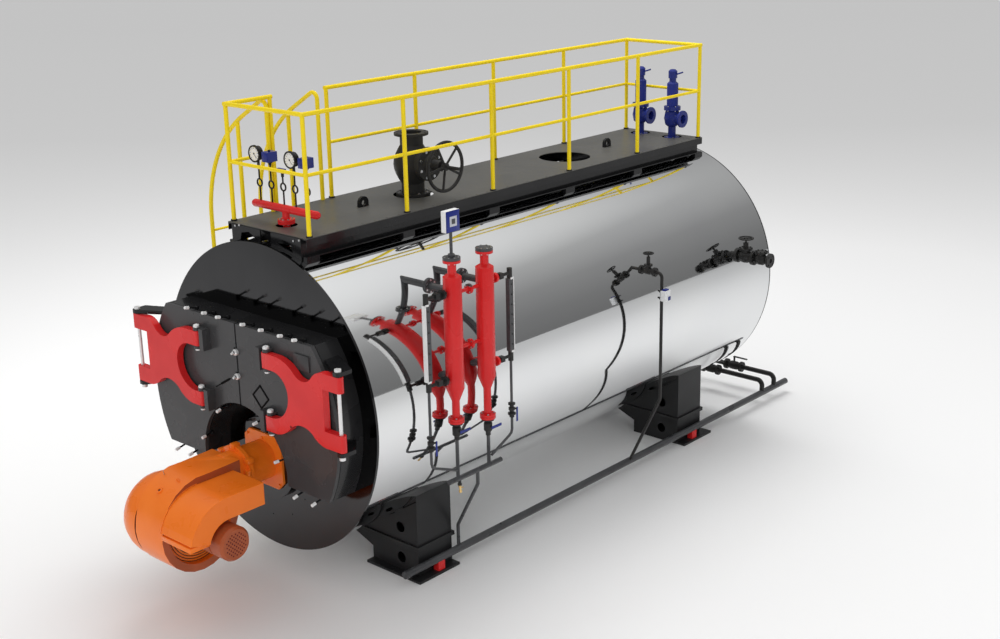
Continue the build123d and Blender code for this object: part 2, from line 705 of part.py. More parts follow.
def make_seam_clamps():
    """The two round steel clamps that close the seam, carried by the right-hand door."""
    front = door_front_y()
    clamps = []
    for z in SEAM_CLAMP_Z:
        profile = [(0, 0), (SEAM_CLAMP_RADIUS * 0.55, 0), (SEAM_CLAMP_RADIUS, 10),
                   (SEAM_CLAMP_RADIUS, SEAM_CLAMP_LENGTH), (0, SEAM_CLAMP_LENGTH)]
        boss = turned(profile, (0, front - SEAM_CLAMP_LENGTH, z), (0, 1, 0))
        clamps.append(boss)
    return clamps


# Burner


def make_burner_ring():
    """The dark mounting ring on the front plate."""
    return [rod((0, -MOUNT_RING_DEPTH, FURNACE_Z), (0, 0, FURNACE_Z), MOUNT_RING_RADIUS)]


def make_burner_plate():
    """The burner's square mounting plate with its corners cut, and the round head on it."""
    back = -MOUNT_RING_DEPTH
    front = back - BURNER_PLATE_THICK
    half, cut = BURNER_PLATE_HALF, BURNER_PLATE_CORNER
    outline = [(-half, -half + cut), (-half, half - cut), (-half + cut, half), (half - cut, half),
               (half, half - cut), (half, -half + cut), (half - cut, -half), (-half + cut, -half)]
    plate = plate_xz([(x, z + FURNACE_Z) for x, z in outline], (front, back))
    head = rod((0, NECK_FLANGE_Y, FURNACE_Z), (0, front, FURNACE_Z), NECK_RADIUS)
    rim = rod((0, NECK_FLANGE_Y, FURNACE_Z), (0, NECK_FLANGE_Y + NECK_FLANGE_THICK, FURNACE_Z),
              NECK_FLANGE_RADIUS)
    return [plate.fuse(head, rim)]


def scroll_outline():
    """The fan housing's outline in Y and Z: a circle that grows into the outlet."""
    points = []
    for angle in range(-30, -196, -15):
        turn = math.radians(angle)
        points.append((FAN_Y + FAN_RADIUS * math.cos(turn), FAN_Z + FAN_RADIUS * math.sin(turn)))
    for angle in range(150, 65, -15):
        turn = math.radians(angle)
        grown = FAN_RADIUS + FAN_SPREAD * (165 - angle) / 90
        points.append((FAN_Y + grown * math.cos(turn), FAN_Z + grown * math.sin(turn)))
    back = NECK_FLANGE_Y - NECK_FLANGE_THICK - NECK_STEP
    points += [(back, FURNACE_Z + NECK_RADIUS - 6), (back, FURNACE_Z - NECK_RADIUS + 6)]
    return points


def make_burner_housing():
    """The fan housing and its outlet, with the swing flange that joins the burner's head."""
    body = plate_yz(scroll_outline(), (FAN_LEFT_X, FAN_RIGHT_X))
    front = NECK_FLANGE_Y - NECK_FLANGE_THICK
    neck = rod((0, front - NECK_STEP - 60, FURNACE_Z), (0, front, FURNACE_Z), NECK_RADIUS)
    rim = rod((0, front, FURNACE_Z), (0, NECK_FLANGE_Y, FURNACE_Z), NECK_FLANGE_RADIUS)
    eye_x = NECK_FLANGE_RADIUS - 20
    eye = rod((eye_x, NECK_FLANGE_Y - 40, FURNACE_Z - 60), (eye_x, NECK_FLANGE_Y - 40, FURNACE_Z + 60), 30)
    web = slab((eye_x - 40, eye_x + 8), (front - 30, front + 5), (FURNACE_Z - 60, FURNACE_Z + 60))
    body = body.fuse(neck, rim, web, eye)
    recess = tube((FAN_RIGHT_X - 60, FAN_Y, FAN_Z), (FAN_RIGHT_X + 5, FAN_Y, FAN_Z),
                  INTAKE_RADIUS, MOTOR_RADIUS + 30)
    return [(body - recess).solid()]


def make_burner_inlet():
    """The rounded cover on the housing's left side, behind a narrow slot."""
    length = FAN_LEFT_X - INLET_LEFT_X
    profile = [(0, 0), (INLET_RADIUS * 0.93, 0), (INLET_RADIUS * 0.93, INLET_SLOT),
               (INLET_RADIUS, INLET_SLOT), (INLET_RADIUS, length * 0.3), (INLET_RADIUS * 0.97, length * 0.5),
               (INLET_RADIUS * 0.9, length * 0.7), (INLET_RADIUS * 0.78, length * 0.88),
               (INLET_RADIUS * 0.62, length), (0, length)]
    return [turned(profile, (FAN_LEFT_X, FAN_Y, FAN_Z), (-1, 0, 0))]


def make_burner_hood():
    """The curved air hood on the housing's right side, over the motor."""
    tip = HOOD_TIP_ANGLE
    steps = [tip - (tip - 90) * index / 8 for index in range(9)]
    outer = [(FAN_Y + HOOD_OUTER * math.cos(math.radians(a)), FAN_Z + HOOD_OUTER * math.sin(math.radians(a)))
             for a in steps]
    inner = [(FAN_Y + HOOD_INNER * math.cos(math.radians(a)), FAN_Z + HOOD_INNER * math.sin(math.radians(a)))
             for a in reversed(steps)]
    back = [(HOOD_REAR_Y, FAN_Z + HOOD_OUTER), (HOOD_REAR_Y, FAN_Z + HOOD_INNER)]
    return [plate_yz(outer + back + inner, (FAN_RIGHT_X, HOOD_RIGHT_X))]


def make_burner_motor():
    """The fan motor on the housing's right side, with its stepped end bell."""
    length = MOTOR_END_X - FAN_RIGHT_X
    profile = [(0, 0), (MOTOR_RADIUS + 26, 0), (MOTOR_RADIUS + 26, 36), (MOTOR_RADIUS, 48),
               (MOTOR_RADIUS, length * 0.62), (MOTOR_RADIUS - 14, length * 0.63),
               (MOTOR_RADIUS - 14, length * 0.66), (MOTOR_RADIUS, length * 0.67),
               (MOTOR_RADIUS, length - 26), (MOTOR_RADIUS - 20, length), (0, length)]
    return [turned(profile, (FAN_RIGHT_X, FAN_Y, FAN_Z), (1, 0, 0))]


# Legs


def leg_outline():
    """A leg's outline in X and Z, from inside the shell down to its foot."""
    floor = -AXIS_HEIGHT
    foot_top = floor + FOOT_THICK
    return [(LEG_OUTER_X, -shell_z(LEG_OUTER_X) + LEG_SINK), (LEG_OUTER_X, foot_top),
            (LEG_INNER_X, foot_top), (LEG_INNER_X, floor + LEG_KNEE_RISE),
            (LEG_NOSE_X, floor + LEG_NOSE_RISE), (LEG_CHIN[0], floor + LEG_CHIN[1]),
            (LEG_THROAT_X, -shell_z(LEG_THROAT_X) + LEG_SINK)]


def make_leg():
    """One hollow welded leg with its rib band, foot plate and two holes in each web."""
    rear = LEG_FRONT_Y + LEG_LENGTH
    outer = plate_xz(leg_outline(), (LEG_FRONT_Y, rear))
    face = Face(Wire.make_polygon([Vector(x, LEG_FRONT_Y + LEG_WALL, z) for x, z in leg_outline()]))
    inside = offset(face, amount=-LEG_WALL, kind=Kind.INTERSECTION).face()
    cavity = Solid.extrude(inside, Vector(0, LEG_LENGTH - 2 * LEG_WALL, 0))
    rib_z = -AXIS_HEIGHT + RIB_RISE
    band = slab((LEG_CHIN[0], LEG_OUTER_X + RIB_PROUD), (LEG_FRONT_Y - RIB_PROUD, rear + RIB_PROUD),
                (rib_z - RIB_HEIGHT / 2, rib_z + RIB_HEIGHT / 2))
    foot = slab((LEG_INNER_X, FOOT_OUTER_X), (LEG_FRONT_Y - FOOT_OVERHANG, rear),
                (-AXIS_HEIGHT, -AXIS_HEIGHT + FOOT_THICK))
    leg = outer.fuse(band, foot) - cavity
    for z in (-AXIS_HEIGHT + rise for rise in WEB_HOLE_RISE):
        leg -= rod((WEB_HOLE_X, LEG_FRONT_Y - 50, z), (WEB_HOLE_X, rear + 50, z), WEB_HOLE_RADIUS)
    hole_y = LEG_FRONT_Y - ANCHOR_INSET
    leg -= rod((ANCHOR_X, hole_y, -AXIS_HEIGHT - 5), (ANCHOR_X, hole_y, -AXIS_HEIGHT + FOOT_THICK + 5),
               ANCHOR_HOLE_RADIUS)
    return seated(leg)


def make_legs(end):
    """The pair of legs at the front (0) or at the rear (1)."""
    leg = make_leg()
    if end:
        leg = leg.mirror(Plane.XZ.offset(-BODY_LENGTH / 2))
    return both_sides(leg)


# Deck


def deck_underside():
    """Height of the deck plates' lower face."""
    return DECK_TOP - DECK_PLATE_THICK


def post_positions():
    """Positions of the guard rail's posts along the shell."""
    return [POST_FIRST_Y + POST_PITCH * index for index in range(POST_COUNT)]


def deck_hole(x, y, radius):
    """A round cutter through the deck."""
    return rod((x, y, deck_underside() - 50), (x, y, DECK_TOP + 50), radius)


def deck_cutters():
    """Everything that passes through the deck plates."""
    cutters = [deck_hole(0, VALVE_Y, VALVE_CUTOUT_RADIUS), deck_hole(0, MANHOLE_Y, MANHOLE_CUTOUT_RADIUS),
               deck_hole(0, HEADER_Y, HEADER_CUTOUT_RADIUS)]
    cutters += [deck_hole(x, SAFETY_Y, SAFETY_CUTOUT_RADIUS) for x in (-SAFETY_X, SAFETY_X)]
    wide, deep = LUG_HALF_WIDTH + LUG_SLOT_CLEARANCE, LUG_THICK / 2 + LUG_SLOT_CLEARANCE
    for y in LUG_Y:
        cutters.append(slab((-deep, deep), (y - wide, y + wide), (deck_underside() - 50, DECK_TOP + 50)))
    return cutters


def deck_panel_ends():
    """The joints between the deck plates."""
    posts = post_positions()
    return [DECK_FRONT_Y, posts[1], posts[2], posts[3], posts[4], DECK_REAR_Y]


def make_deck_panels(manhole):
    """The deck plates; the one with the manhole's opening is a piece of its own."""
    ends = deck_panel_ends()
    panels = []
    for low, high in zip(ends[:-1], ends[1:]):
        if (low < MANHOLE_Y < high) != manhole:
            continue
        panel = slab((-DECK_HALF_WIDTH, DECK_HALF_WIDTH), (low, high), (deck_underside(), DECK_TOP))
        for cutter in deck_cutters():
            box, hole = panel.bounding_box(), cutter.bounding_box()
            if hole.max.Y > box.min.Y and hole.min.Y < box.max.Y:
                panel -= cutter
        panels.append(panel.solid())
    return panels


def make_deck_side_beams():
    """The two channel beams under the deck's edges, open outwards, and the edge strips."""
    top = deck_underside()
    bottom = DECK_TOP - BEAM_DEPTH
    outer = DECK_HALF_WIDTH - EDGE_STRIP_THICK
    web = outer - BEAM_FLANGE
    inner = web + BEAM_WEB
    outline = [(web, bottom), (outer, bottom), (outer, bottom + BEAM_WEB), (inner, bottom + BEAM_WEB),
               (inner, top - BEAM_WEB), (outer, top - BEAM_WEB), (outer, top), (web, top)]
    beam = plate_xz(outline, (DECK_FRONT_Y, DECK_REAR_Y))
    strip = slab((outer, DECK_HALF_WIDTH), (DECK_FRONT_Y, DECK_REAR_Y), (top - EDGE_STRIP_HEIGHT, top))
    return both_sides(beam.fuse(strip))


def cross_beam_places():
    """Where the cross beams start: near both ends, and evenly between the deck's fittings."""
    fittings = [HEADER_Y, LUG_Y[0], VALVE_Y, MANHOLE_Y, LUG_Y[1], SAFETY_Y]
    places = [DECK_FRONT_Y + CROSS_BEAM_INSET, DECK_REAR_Y - CROSS_BEAM_WIDTH - SEAT_GAP]
    for before, after in zip(fittings[:-1], fittings[1:]):
        count = max(1, round((after - before) / CROSS_BEAM_PITCH))
        step = (after - before) / (count + 1)
        places += [before + step * (index + 1) - CROSS_BEAM_WIDTH / 2 for index in range(count)]
    return sorted(places)


def make_deck_cross_beams():
    """The channel cross beams between the two side beams."""
    top, bottom = deck_underside(), DECK_TOP - BEAM_DEPTH
    web = DECK_HALF_WIDTH - EDGE_STRIP_THICK - BEAM_FLANGE
    low = bottom + CROSS_BEAM_RAISE
    wall = CROSS_BEAM_WALL
    beams = []
    for start in cross_beam_places():
        end = start + CROSS_BEAM_WIDTH
        beam = slab((-web, web), (start, end), (low, top))
        beam -= slab((-web - 5, web + 5), (start + wall, end + 5), (low + wall, top - wall))
        beams.append(seated(beam.solid()))
    return beams


def make_deck_brackets():
    """The feet under the side beams at every post, and the saddle plates at the front."""
    bottom = DECK_TOP - BEAM_DEPTH
    outer = DECK_HALF_WIDTH - EDGE_STRIP_THICK
    feet = []
    for y in post_positions():
        low = max(y - FOOT_WIDTH / 2, DECK_FRONT_Y)
        foot = slab((outer - BEAM_FLANGE, outer), (low, low + FOOT_WIDTH),
                    (shell_z(outer) - FOOT_SINK, bottom))
        feet += both_sides(seated(foot))
    return feet + both_sides(make_saddle_plate())


def make_saddle_plate():
    """The plate between the deck's front end and the shell, with its long hole."""
    outer = DECK_HALF_WIDTH - EDGE_STRIP_THICK - BEAM_FLANGE + BEAM_WEB
    top = deck_underside()
    inner = SADDLE_INNER_X
    depth = (DECK_FRONT_Y - SADDLE_THICK, DECK_FRONT_Y)
    plate = slab((inner, outer), depth, (shell_z(outer) - FOOT_SINK, top))
    hole_x = (inner + 80, inner + 165, inner + 270, inner + 295, inner + 160)
    hole = [(hole_x[0], top - 82), (hole_x[1], top - 45), (hole_x[2], top - 66),
            (hole_x[3], shell_z(hole_x[3]) + SADDLE_STRIP), (hole_x[4], shell_z(hole_x[4]) + SADDLE_STRIP)]
    plate -= plate_xz(hole, (depth[0] - 5, depth[1] + 5))
    return seated(plate)


def make_lifting_lugs():
    """The lifting lugs on the shell's crown, which stand through slots in the deck."""
    lugs = []
    centre = LUG_TOP_Z - LUG_HALF_WIDTH
    for y in LUG_Y:
        base = plate_yz([(y - LUG_BASE_HALF, SHELL_RADIUS - 20), (y - LUG_HALF_WIDTH, DECK_TOP - 20),
                         (y - LUG_HALF_WIDTH, centre), (y + LUG_HALF_WIDTH, centre),
                         (y + LUG_HALF_WIDTH, DECK_TOP - 20), (y + LUG_BASE_HALF, SHELL_RADIUS - 20)],
                        (-LUG_THICK / 2, LUG_THICK / 2))
        crown = rod((-LUG_THICK / 2, y, centre), (LUG_THICK / 2, y, centre), LUG_HALF_WIDTH)
        lug = base.fuse(crown) - rod((-LUG_THICK, y, centre), (LUG_THICK, y, centre), LUG_HOLE_RADIUS)
        lugs.append(seated(lug.solid()))
    return lugs


# Guard rail


def rail_z():
    """Heights of the axes of the top rail and of the middle rail."""
    return DECK_TOP + RAIL_HEIGHT - TUBE_RADIUS, DECK_TOP + MID_RAIL_HEIGHT


def left_rail_start():
    """Where the left-hand rails begin again behind the ladder's gap."""
    return post_positions()[1]


def post_places():
    """Every post of the guard rail, as places in X and Y."""
    places = [(POST_X, y) for y in post_positions()] + [(-POST_X, y) for y in post_positions()]
    return places + [(-POST_X, GATE_POST_Y)]


def make_guard_posts():
    """The posts of the guard rail, which end under the top rail."""
    top = rail_z()[0]
    rails = top_rail_bars(SEAT_GAP)
    posts = []
    for x, y in post_places():
        posts += cut_by(rod((x, y, DECK_TOP), (x, y, top), TUBE_RADIUS), rails)
    return posts


def top_rail_bars(grow=0.0):
    """The top rail's straight bars, open on the left between the gate and the next post."""
    top = rail_z()[0]
    radius = TUBE_RADIUS + grow
    front, rear = post_positions()[0], post_positions()[-1]
    right = rod((POST_X, front - TUBE_RADIUS, top), (POST_X, rear + TUBE_RADIUS, top), radius)
    left = rod((-POST_X, left_rail_start() - TUBE_RADIUS, top), (-POST_X, rear + TUBE_RADIUS, top), radius)
    gate = rod((-POST_X, front - TUBE_RADIUS, top), (-POST_X, GATE_POST_Y + TUBE_RADIUS, top), radius)
    ends = [rod((-POST_X, y, top), (POST_X, y, top), radius) for y in (front, rear)]
    return [right, left, gate] + ends


def make_top_rail():
    """The top rail in straight bars, the cross bars fitted between the side bars."""
    right, left, gate, front, rear = top_rail_bars()
    sides = top_rail_bars(SEAT_GAP)[:3]
    bars = [right] + cut_by(left, arch_cutters()) + cut_by(gate, arch_cutters())
    for bar in (front, rear):
        bars += cut_by(bar, sides)
    return [bar for bar in bars if bar.bounding_box().size.length > 100]


def arch_cutters():
    """The arched handrails, a little larger, which trim the top rail where they meet it."""
    return [arch(y, TUBE_RADIUS + SEAT_GAP) for y in LADDER_Y]


def make_mid_rails():
    """The middle rails in straight lengths between the posts."""
    middle = rail_z()[1]
    front, rear = post_positions()[0], post_positions()[-1]
    runs = [((POST_X, front), (POST_X, rear)), ((-POST_X, front), (-POST_X, GATE_POST_Y)),
            ((-POST_X, left_rail_start()), (-POST_X, rear)), ((-POST_X, front), (POST_X, front)),
            ((-POST_X, rear), (POST_X, rear))]
    posts = [rod((x, y, DECK_TOP), (x, y, DECK_TOP + RAIL_HEIGHT), TUBE_RADIUS + SEAT_GAP)
             for x, y in post_places()]
    rails = []
    for start, end in runs:
        rails += cut_by(rod((*start, middle), (*end, middle), MID_RAIL_RADIUS), posts + arch_legs(SEAT_GAP))
    return rails


# Ladder on the far side


def arch_corner_z():
    """Height at which a handrail's sloping line meets the line of the ladder's stile."""
    return rail_z()[0] - LADDER_SLOPE * (-POST_X - LADDER_X)


def arch_legs(grow=0.0):
    """The parts of the arched handrails that stand on the deck, as cutters."""
    return [rod((-POST_X, y, DECK_TOP), (-POST_X, y, rail_z()[0]), TUBE_RADIUS + grow) for y in LADDER_Y]


def ladder_top():
    """Height at which the arched handrails' bends have ended and the stiles begin."""
    half_turn = (math.pi / 2 - math.atan(LADDER_SLOPE)) / 2
    return arch_corner_z() - LADDER_BEND * math.tan(half_turn) - ARCH_END_RUN


def arch(y, radius):
    """One arched handrail, from the deck up and over to the ladder's stile."""
    points = [(-POST_X, y, DECK_TOP), (-POST_X, y, rail_z()[0] + 10), (LADDER_X, y, arch_corner_z()),
              (LADDER_X, y, ladder_top())]
    return bent_pipe(points, [ARCH_BEND, LADDER_BEND], radius)


def make_handrail_arches():
    """The two arched handrails at the head of the ladder."""
    return [arch(y, TUBE_RADIUS) for y in LADDER_Y]


def make_ladder_stiles():
    """The ladder's two stiles, down to the floor."""
    return [rod((LADDER_X, y, -AXIS_HEIGHT), (LADDER_X, y, ladder_top()), TUBE_RADIUS) for y in LADDER_Y]


def make_ladder_rungs():
    """The ladder's rungs, between its stiles."""
    start, end = LADDER_Y[0] + TUBE_RADIUS, LADDER_Y[1] - TUBE_RADIUS
    rungs = []
    count = int((ladder_top() + AXIS_HEIGHT - 60) // RUNG_PITCH)
    for index in range(1, count + 1):
        z = -AXIS_HEIGHT + index * RUNG_PITCH
        rungs.append(rod((LADDER_X, start, z), (LADDER_X, end, z), RUNG_RADIUS))
    return rungs


def make_handrail_props():
    """The upright props between the arched handrails and the shell."""
    props = []
    for y in LADDER_Y:
        foot, head = shell_z(PROP_X) - PROP_SINK, arch_corner_z() + PROP_SPARE
        prop = seated(rod((PROP_X, y, foot), (PROP_X, y, head), TUBE_RADIUS))
        pieces = cut_by(prop, [arch(y, TUBE_RADIUS + SEAT_GAP)])
        props.append(min(pieces, key=lambda piece: piece.center().Z))
    return props


# Fittings on the shell's crown


def make_stop_valve_body():
    """The steam stop valve: a flanged nozzle, a bulged body and a flange at the top."""
    low, thick = VALVE_JOINT_Z, VALVE_FLANGE_THICK
    pipe, rim = VALVE_BORE_RADIUS + VALVE_WALL, VALVE_FLANGE_RADIUS
    bore, top = VALVE_BORE_RADIUS, VALVE_TOP_Z
    nozzle = [(0, SHELL_RADIUS - 40), (pipe, SHELL_RADIUS - 40), (pipe, low - thick), (rim, low - thick),
              (rim, low - 1.5), (rim * 0.7, low - 1.5), (rim * 0.7, low + 1.5), (rim, low + 1.5),
              (rim, low + thick), (pipe, low + thick)]
    outlet = [(pipe, top - thick), (rim, top - thick), (rim, top), (bore, top),
              (bore, top - VALVE_BORE_DEPTH), (0, top - VALVE_BORE_DEPTH)]
    profile = nozzle + swell(*VALVE_BELLY_Z, pipe, VALVE_BELLY_RADIUS, 8) + outlet
    body = turned(profile, (0, VALVE_Y, 0), (0, 0, 1))
    reach = VALVE_BONNET_X
    side = turned([(0, 0), (118, 0), (118, reach - thick), (VALVE_BONNET_RADIUS, reach - thick),
                   (VALVE_BONNET_RADIUS, reach), (0, reach)], (0, VALVE_Y, VALVE_BONNET_Z), (1, 0, 0))
    body = body.fuse(side)
    for index in range(VALVE_BOLTS):
        turn = 2 * math.pi * (index + 0.5) / VALVE_BOLTS
        x, y = VALVE_BOLT_CIRCLE / 2 * math.cos(turn), VALVE_Y + VALVE_BOLT_CIRCLE / 2 * math.sin(turn)
        body -= rod((x, y, VALVE_TOP_Z - thick - 5), (x, y, VALVE_TOP_Z + 5), VALVE_BOLT_HOLE_RADIUS)
    return [seated(body)]


def make_stop_valve_bonnet():
    """The stop valve's bonnet, yoke and stem."""
    end = VALVE_WHEEL_X - 46
    start = VALVE_BONNET_X + SEAT_GAP
    rim = start + VALVE_FLANGE_THICK
    profile = [(0, start), (VALVE_BONNET_RADIUS, start), (VALVE_BONNET_RADIUS, rim), (96, rim + 2),
               (78, rim + 42), (52, rim + 52), (52, end),
               (VALVE_STEM_RADIUS, end), (VALVE_STEM_RADIUS, VALVE_STEM_X), (0, VALVE_STEM_X)]
    return [turned(profile, (0, VALVE_Y, VALVE_BONNET_Z), (1, 0, 0))]


def bored_wheel(centre, axis, radius, rim, stem, spokes):
    """A handwheel with a running fit on its stem."""
    wheel = handwheel(centre, axis, radius, rim, stem * 2.4, spokes)
    way = Vector(*axis)
    start, end = Vector(*centre) - way * 200, Vector(*centre) + way * 200
    return (wheel - rod(tuple(start), tuple(end), stem + WHEEL_CLEARANCE)).solid()


def make_stop_valve_wheel():
    """The stop valve's large handwheel."""
    return [bored_wheel((VALVE_WHEEL_X, VALVE_Y, VALVE_BONNET_Z), (1, 0, 0), VALVE_WHEEL_RADIUS,
                        VALVE_WHEEL_RIM, VALVE_STEM_RADIUS, 5)]


def make_header():
    """The gauge header: a flanged riser through the deck and a round cross pipe."""
    low, joint = DECK_TOP + 16, DECK_TOP + 36
    riser, rim = HEADER_RISER_RADIUS, HEADER_FLANGE_RADIUS
    base = [(0, SHELL_RADIUS - 30), (riser, SHELL_RADIUS - 30), (riser, low), (rim, low), (rim, joint - 1),
            (riser + 16, joint - 1), (riser + 16, joint + 1), (rim, joint + 1), (rim, joint + 20),
            (riser, joint + 20), (riser, HEADER_Z), (0, HEADER_Z)]
    riser = turned(base, (0, HEADER_Y, 0), (0, 0, 1))
    cross = rod((-HEADER_HALF, HEADER_Y, HEADER_Z), (HEADER_HALF, HEADER_Y, HEADER_Z), HEADER_RADIUS)
    cap = [(0, 0), (HEADER_RADIUS, 0), (HEADER_RADIUS * 0.8, 18), (HEADER_RADIUS * 0.4, 28), (0, 30)]
    caps = [turned(cap, (side * HEADER_HALF, HEADER_Y, HEADER_Z), (side, 0, 0)) for side in (-1, 1)]
    return [seated(riser.fuse(cross, *caps))]


def siphon_tops():
    """Where each siphon ends: below a gauge, below a switch, or at the short middle one."""
    gauge, switch = GAUGE_Z - GAUGE_RADIUS - 30, SWITCH_Z - 46
    return (gauge, switch, SIPHON_SHORT_Z, gauge, switch)


def make_siphons():
    """The five ring siphons on the header."""
    siphons = []
    for x, top in zip(SIPHON_X, siphon_tops()):
        low, high = SIPHON_LOOP_Z - SIPHON_LOOP_RADIUS, SIPHON_LOOP_Z + SIPHON_LOOP_RADIUS
        loop = Solid.make_torus(SIPHON_LOOP_RADIUS, SIPHON_TUBE,
                                Plane(origin=(x, HEADER_Y, SIPHON_LOOP_Z), z_dir=(0, 1, 0)))
        loop = loop.fuse(rod((x, HEADER_Y, HEADER_Z), (x, HEADER_Y, low), SIPHON_TUBE),
                         rod((x, HEADER_Y, high), (x, HEADER_Y, top), SIPHON_TUBE),
                         rod((x, HEADER_Y, top - 34), (x, HEADER_Y, top), SIPHON_TUBE * 1.7))
        core = rod((-HEADER_HALF, HEADER_Y, HEADER_Z), (HEADER_HALF, HEADER_Y, HEADER_Z),
                   HEADER_RADIUS + SEAT_GAP)
        siphons.append(max((loop - core).solids(), key=lambda piece: piece.volume))
    return siphons


def make_pressure_gauges():
    """The two round pressure gauges."""
    gauges = []
    for index in (0, 3):
        x, top = SIPHON_X[index], siphon_tops()[index]
        case = turned([(0, 0), (GAUGE_RADIUS - 4, 0), (GAUGE_RADIUS, 4), (GAUGE_RADIUS, 12),
                       (GAUGE_RADIUS - 12, 12), (GAUGE_RADIUS - 12, 52), (0, 52)],
                      (x, HEADER_Y - 40, GAUGE_Z), (0, 1, 0))
        stem = rod((x, HEADER_Y, top), (x, HEADER_Y, GAUGE_Z - 30), 13)
        gauges.append(case.fuse(stem))
    return gauges


def make_pressure_switches():
    """The two blue pressure switches, on short black feet."""
    switches = []
    for index in (1, 4):
        x, top = SIPHON_X[index], siphon_tops()[index]
        switches.append(slab((x - 45, x + 45), (HEADER_Y - 55, HEADER_Y + 55), (top, top + 92)))
    return switches


def make_header_valve():
    """The small black instrument on the short middle siphon."""
    x, top = SIPHON_X[2], siphon_tops()[2]
    return [rod((x, HEADER_Y, top), (x, HEADER_Y, top + 16), 14).fuse(
        slab((x - 62, x + 40), (HEADER_Y - 15, HEADER_Y + 15), (top + 12, top + 42)))]


def make_safety_valve_bodies():
    """The two safety valves' bodies, with their outlet flanges to the right."""
    bodies = []
    for x in (-SAFETY_X, SAFETY_X):
        joint, centre, top = SAFETY_JOINT_Z, SAFETY_OUTLET_Z, SAFETY_TOP_Z
        neck = SAFETY_NECK_RADIUS
        base = [(0, SHELL_RADIUS - 60), (neck, SHELL_RADIUS - 60), (neck, joint - 24), (88, joint - 24),
                (88, joint - 1), (60, joint - 1), (60, joint + 1), (88, joint + 1), (88, joint + 24),
                (neck, joint + 26), (neck, centre - 103), (82, centre - 73), (96, centre), (82, top - 42),
                (66, top - 22), (98, top - 22), (98, top), (0, top)]
        body = turned(base, (x, SAFETY_Y, 0), (0, 0, 1))
        outlet = turned([(0, 0), (66, 0), (66, 135), (100, 135), (100, 157), (52, 157), (52, 100), (0, 100)],
                        (x, SAFETY_Y, SAFETY_OUTLET_Z), (1, 0, 0))
        bodies.append(seated(body.fuse(outlet)))
    return bodies


def make_safety_valve_bonnets():
    """The tall bonnets of the safety valves, with their caps and lifting levers."""
    bonnets = []
    for x in (-SAFETY_X, SAFETY_X):
        low = SAFETY_TOP_Z
        cap = low + SAFETY_BONNET_HEIGHT
        profile = [(0, low), (98, low), (98, low + 22), (66.5, low + 24), (66.5, cap), (40, cap + 25),
                   (40, cap + 62), (52, cap + 64), (52, cap + 145), (30, cap + 165), (0, cap + 165)]
        bonnet = turned(profile, (x, SAFETY_Y, 0), (0, 0, 1))
        lever = rod((x + 20, SAFETY_Y, cap + 100), (x + 140, SAFETY_Y, cap + 140), 9)
        bonnets.append(bonnet.fuse(lever))
    return bonnets


# Level columns on the right-hand side


def column_cutters():
    """The columns' round bodies, a little larger, which trim what meets them."""
    return [rod((COLUMN_X, y, COLUMN_BOTTOM_Z - 40), (COLUMN_X, y, COLUMN_TOP_Z + 40),
                COLUMN_RADIUS + SEAT_GAP) for y in COLUMN_Y]


def make_level_columns():
    """The two red level columns with their end flanges."""
    columns = []
    for y, neck_z in zip(COLUMN_Y, COLUMN_NECK_Z):
        joint, lid = neck_z - COLUMN_NECK_THICK / 2, COLUMN_LID_Z - COLUMN_LID_THICK / 2
        low, high = neck_z - COLUMN_NECK_THICK, COLUMN_LID_Z - COLUMN_LID_THICK
        profile = [(0, low), (74, low), (74, joint - 1), (50, joint - 1), (50, joint + 1), (74, joint + 1),
                   (74, neck_z), (36, neck_z), (36, COLUMN_BOTTOM_Z - 120), (COLUMN_RADIUS, COLUMN_BOTTOM_Z),
                   (COLUMN_RADIUS, COLUMN_TOP_Z), (40, COLUMN_TOP_Z + 28), (40, high), (80, high),
                   (80, lid - 1), (54, lid - 1), (54, lid + 1), (80, lid + 1), (80, COLUMN_LID_Z),
                   (0, COLUMN_LID_Z)]
        columns.append(turned(profile, (COLUMN_X, y, 0), (0, 0, 1)))
    return columns


def make_column_branches():
    """The pipes between the shell and the columns, with a flange pair on each."""
    branches = []
    for y in COLUMN_Y:
        for z in (STEAM_BRANCH_Z, WATER_BRANCH_Z):
            wall_x, near_x = shell_x(z), COLUMN_X - COLUMN_RADIUS
            pipe = rod((wall_x - 60, y, z), (COLUMN_X, y, z), BRANCH_RADIUS)
            if near_x - wall_x > BRANCH_FLANGE_RUN:
                joint = ((wall_x + near_x) / 2 + 60, y, z)
                pipe = pipe.fuse(flange_pair(joint, (1, 0, 0), 70))
            branches.append(cut_by(pipe, column_cutters())[0])
    return [seated(branch) for branch in branches]


def make_column_links():
    """The pipes between the two columns."""
    links = []
    middle = sum(COLUMN_Y) / 2
    for z in LINK_Z:
        pipe = rod((COLUMN_X, COLUMN_Y[0], z), (COLUMN_X, COLUMN_Y[1], z), LINK_RADIUS)
        pipe = pipe.fuse(flange_pair((COLUMN_X, middle, z), (0, 1, 0), 46, 14))
        links += cut_by(pipe, column_cutters())
    return links


def gauge_places():
    """The gauge glasses, one on the outer side of each column: column, glass and direction."""
    return [(COLUMN_Y[0], COLUMN_Y[0] - GAUGE_OFFSET, -1), (COLUMN_Y[1], COLUMN_Y[1] + GAUGE_OFFSET, 1)]


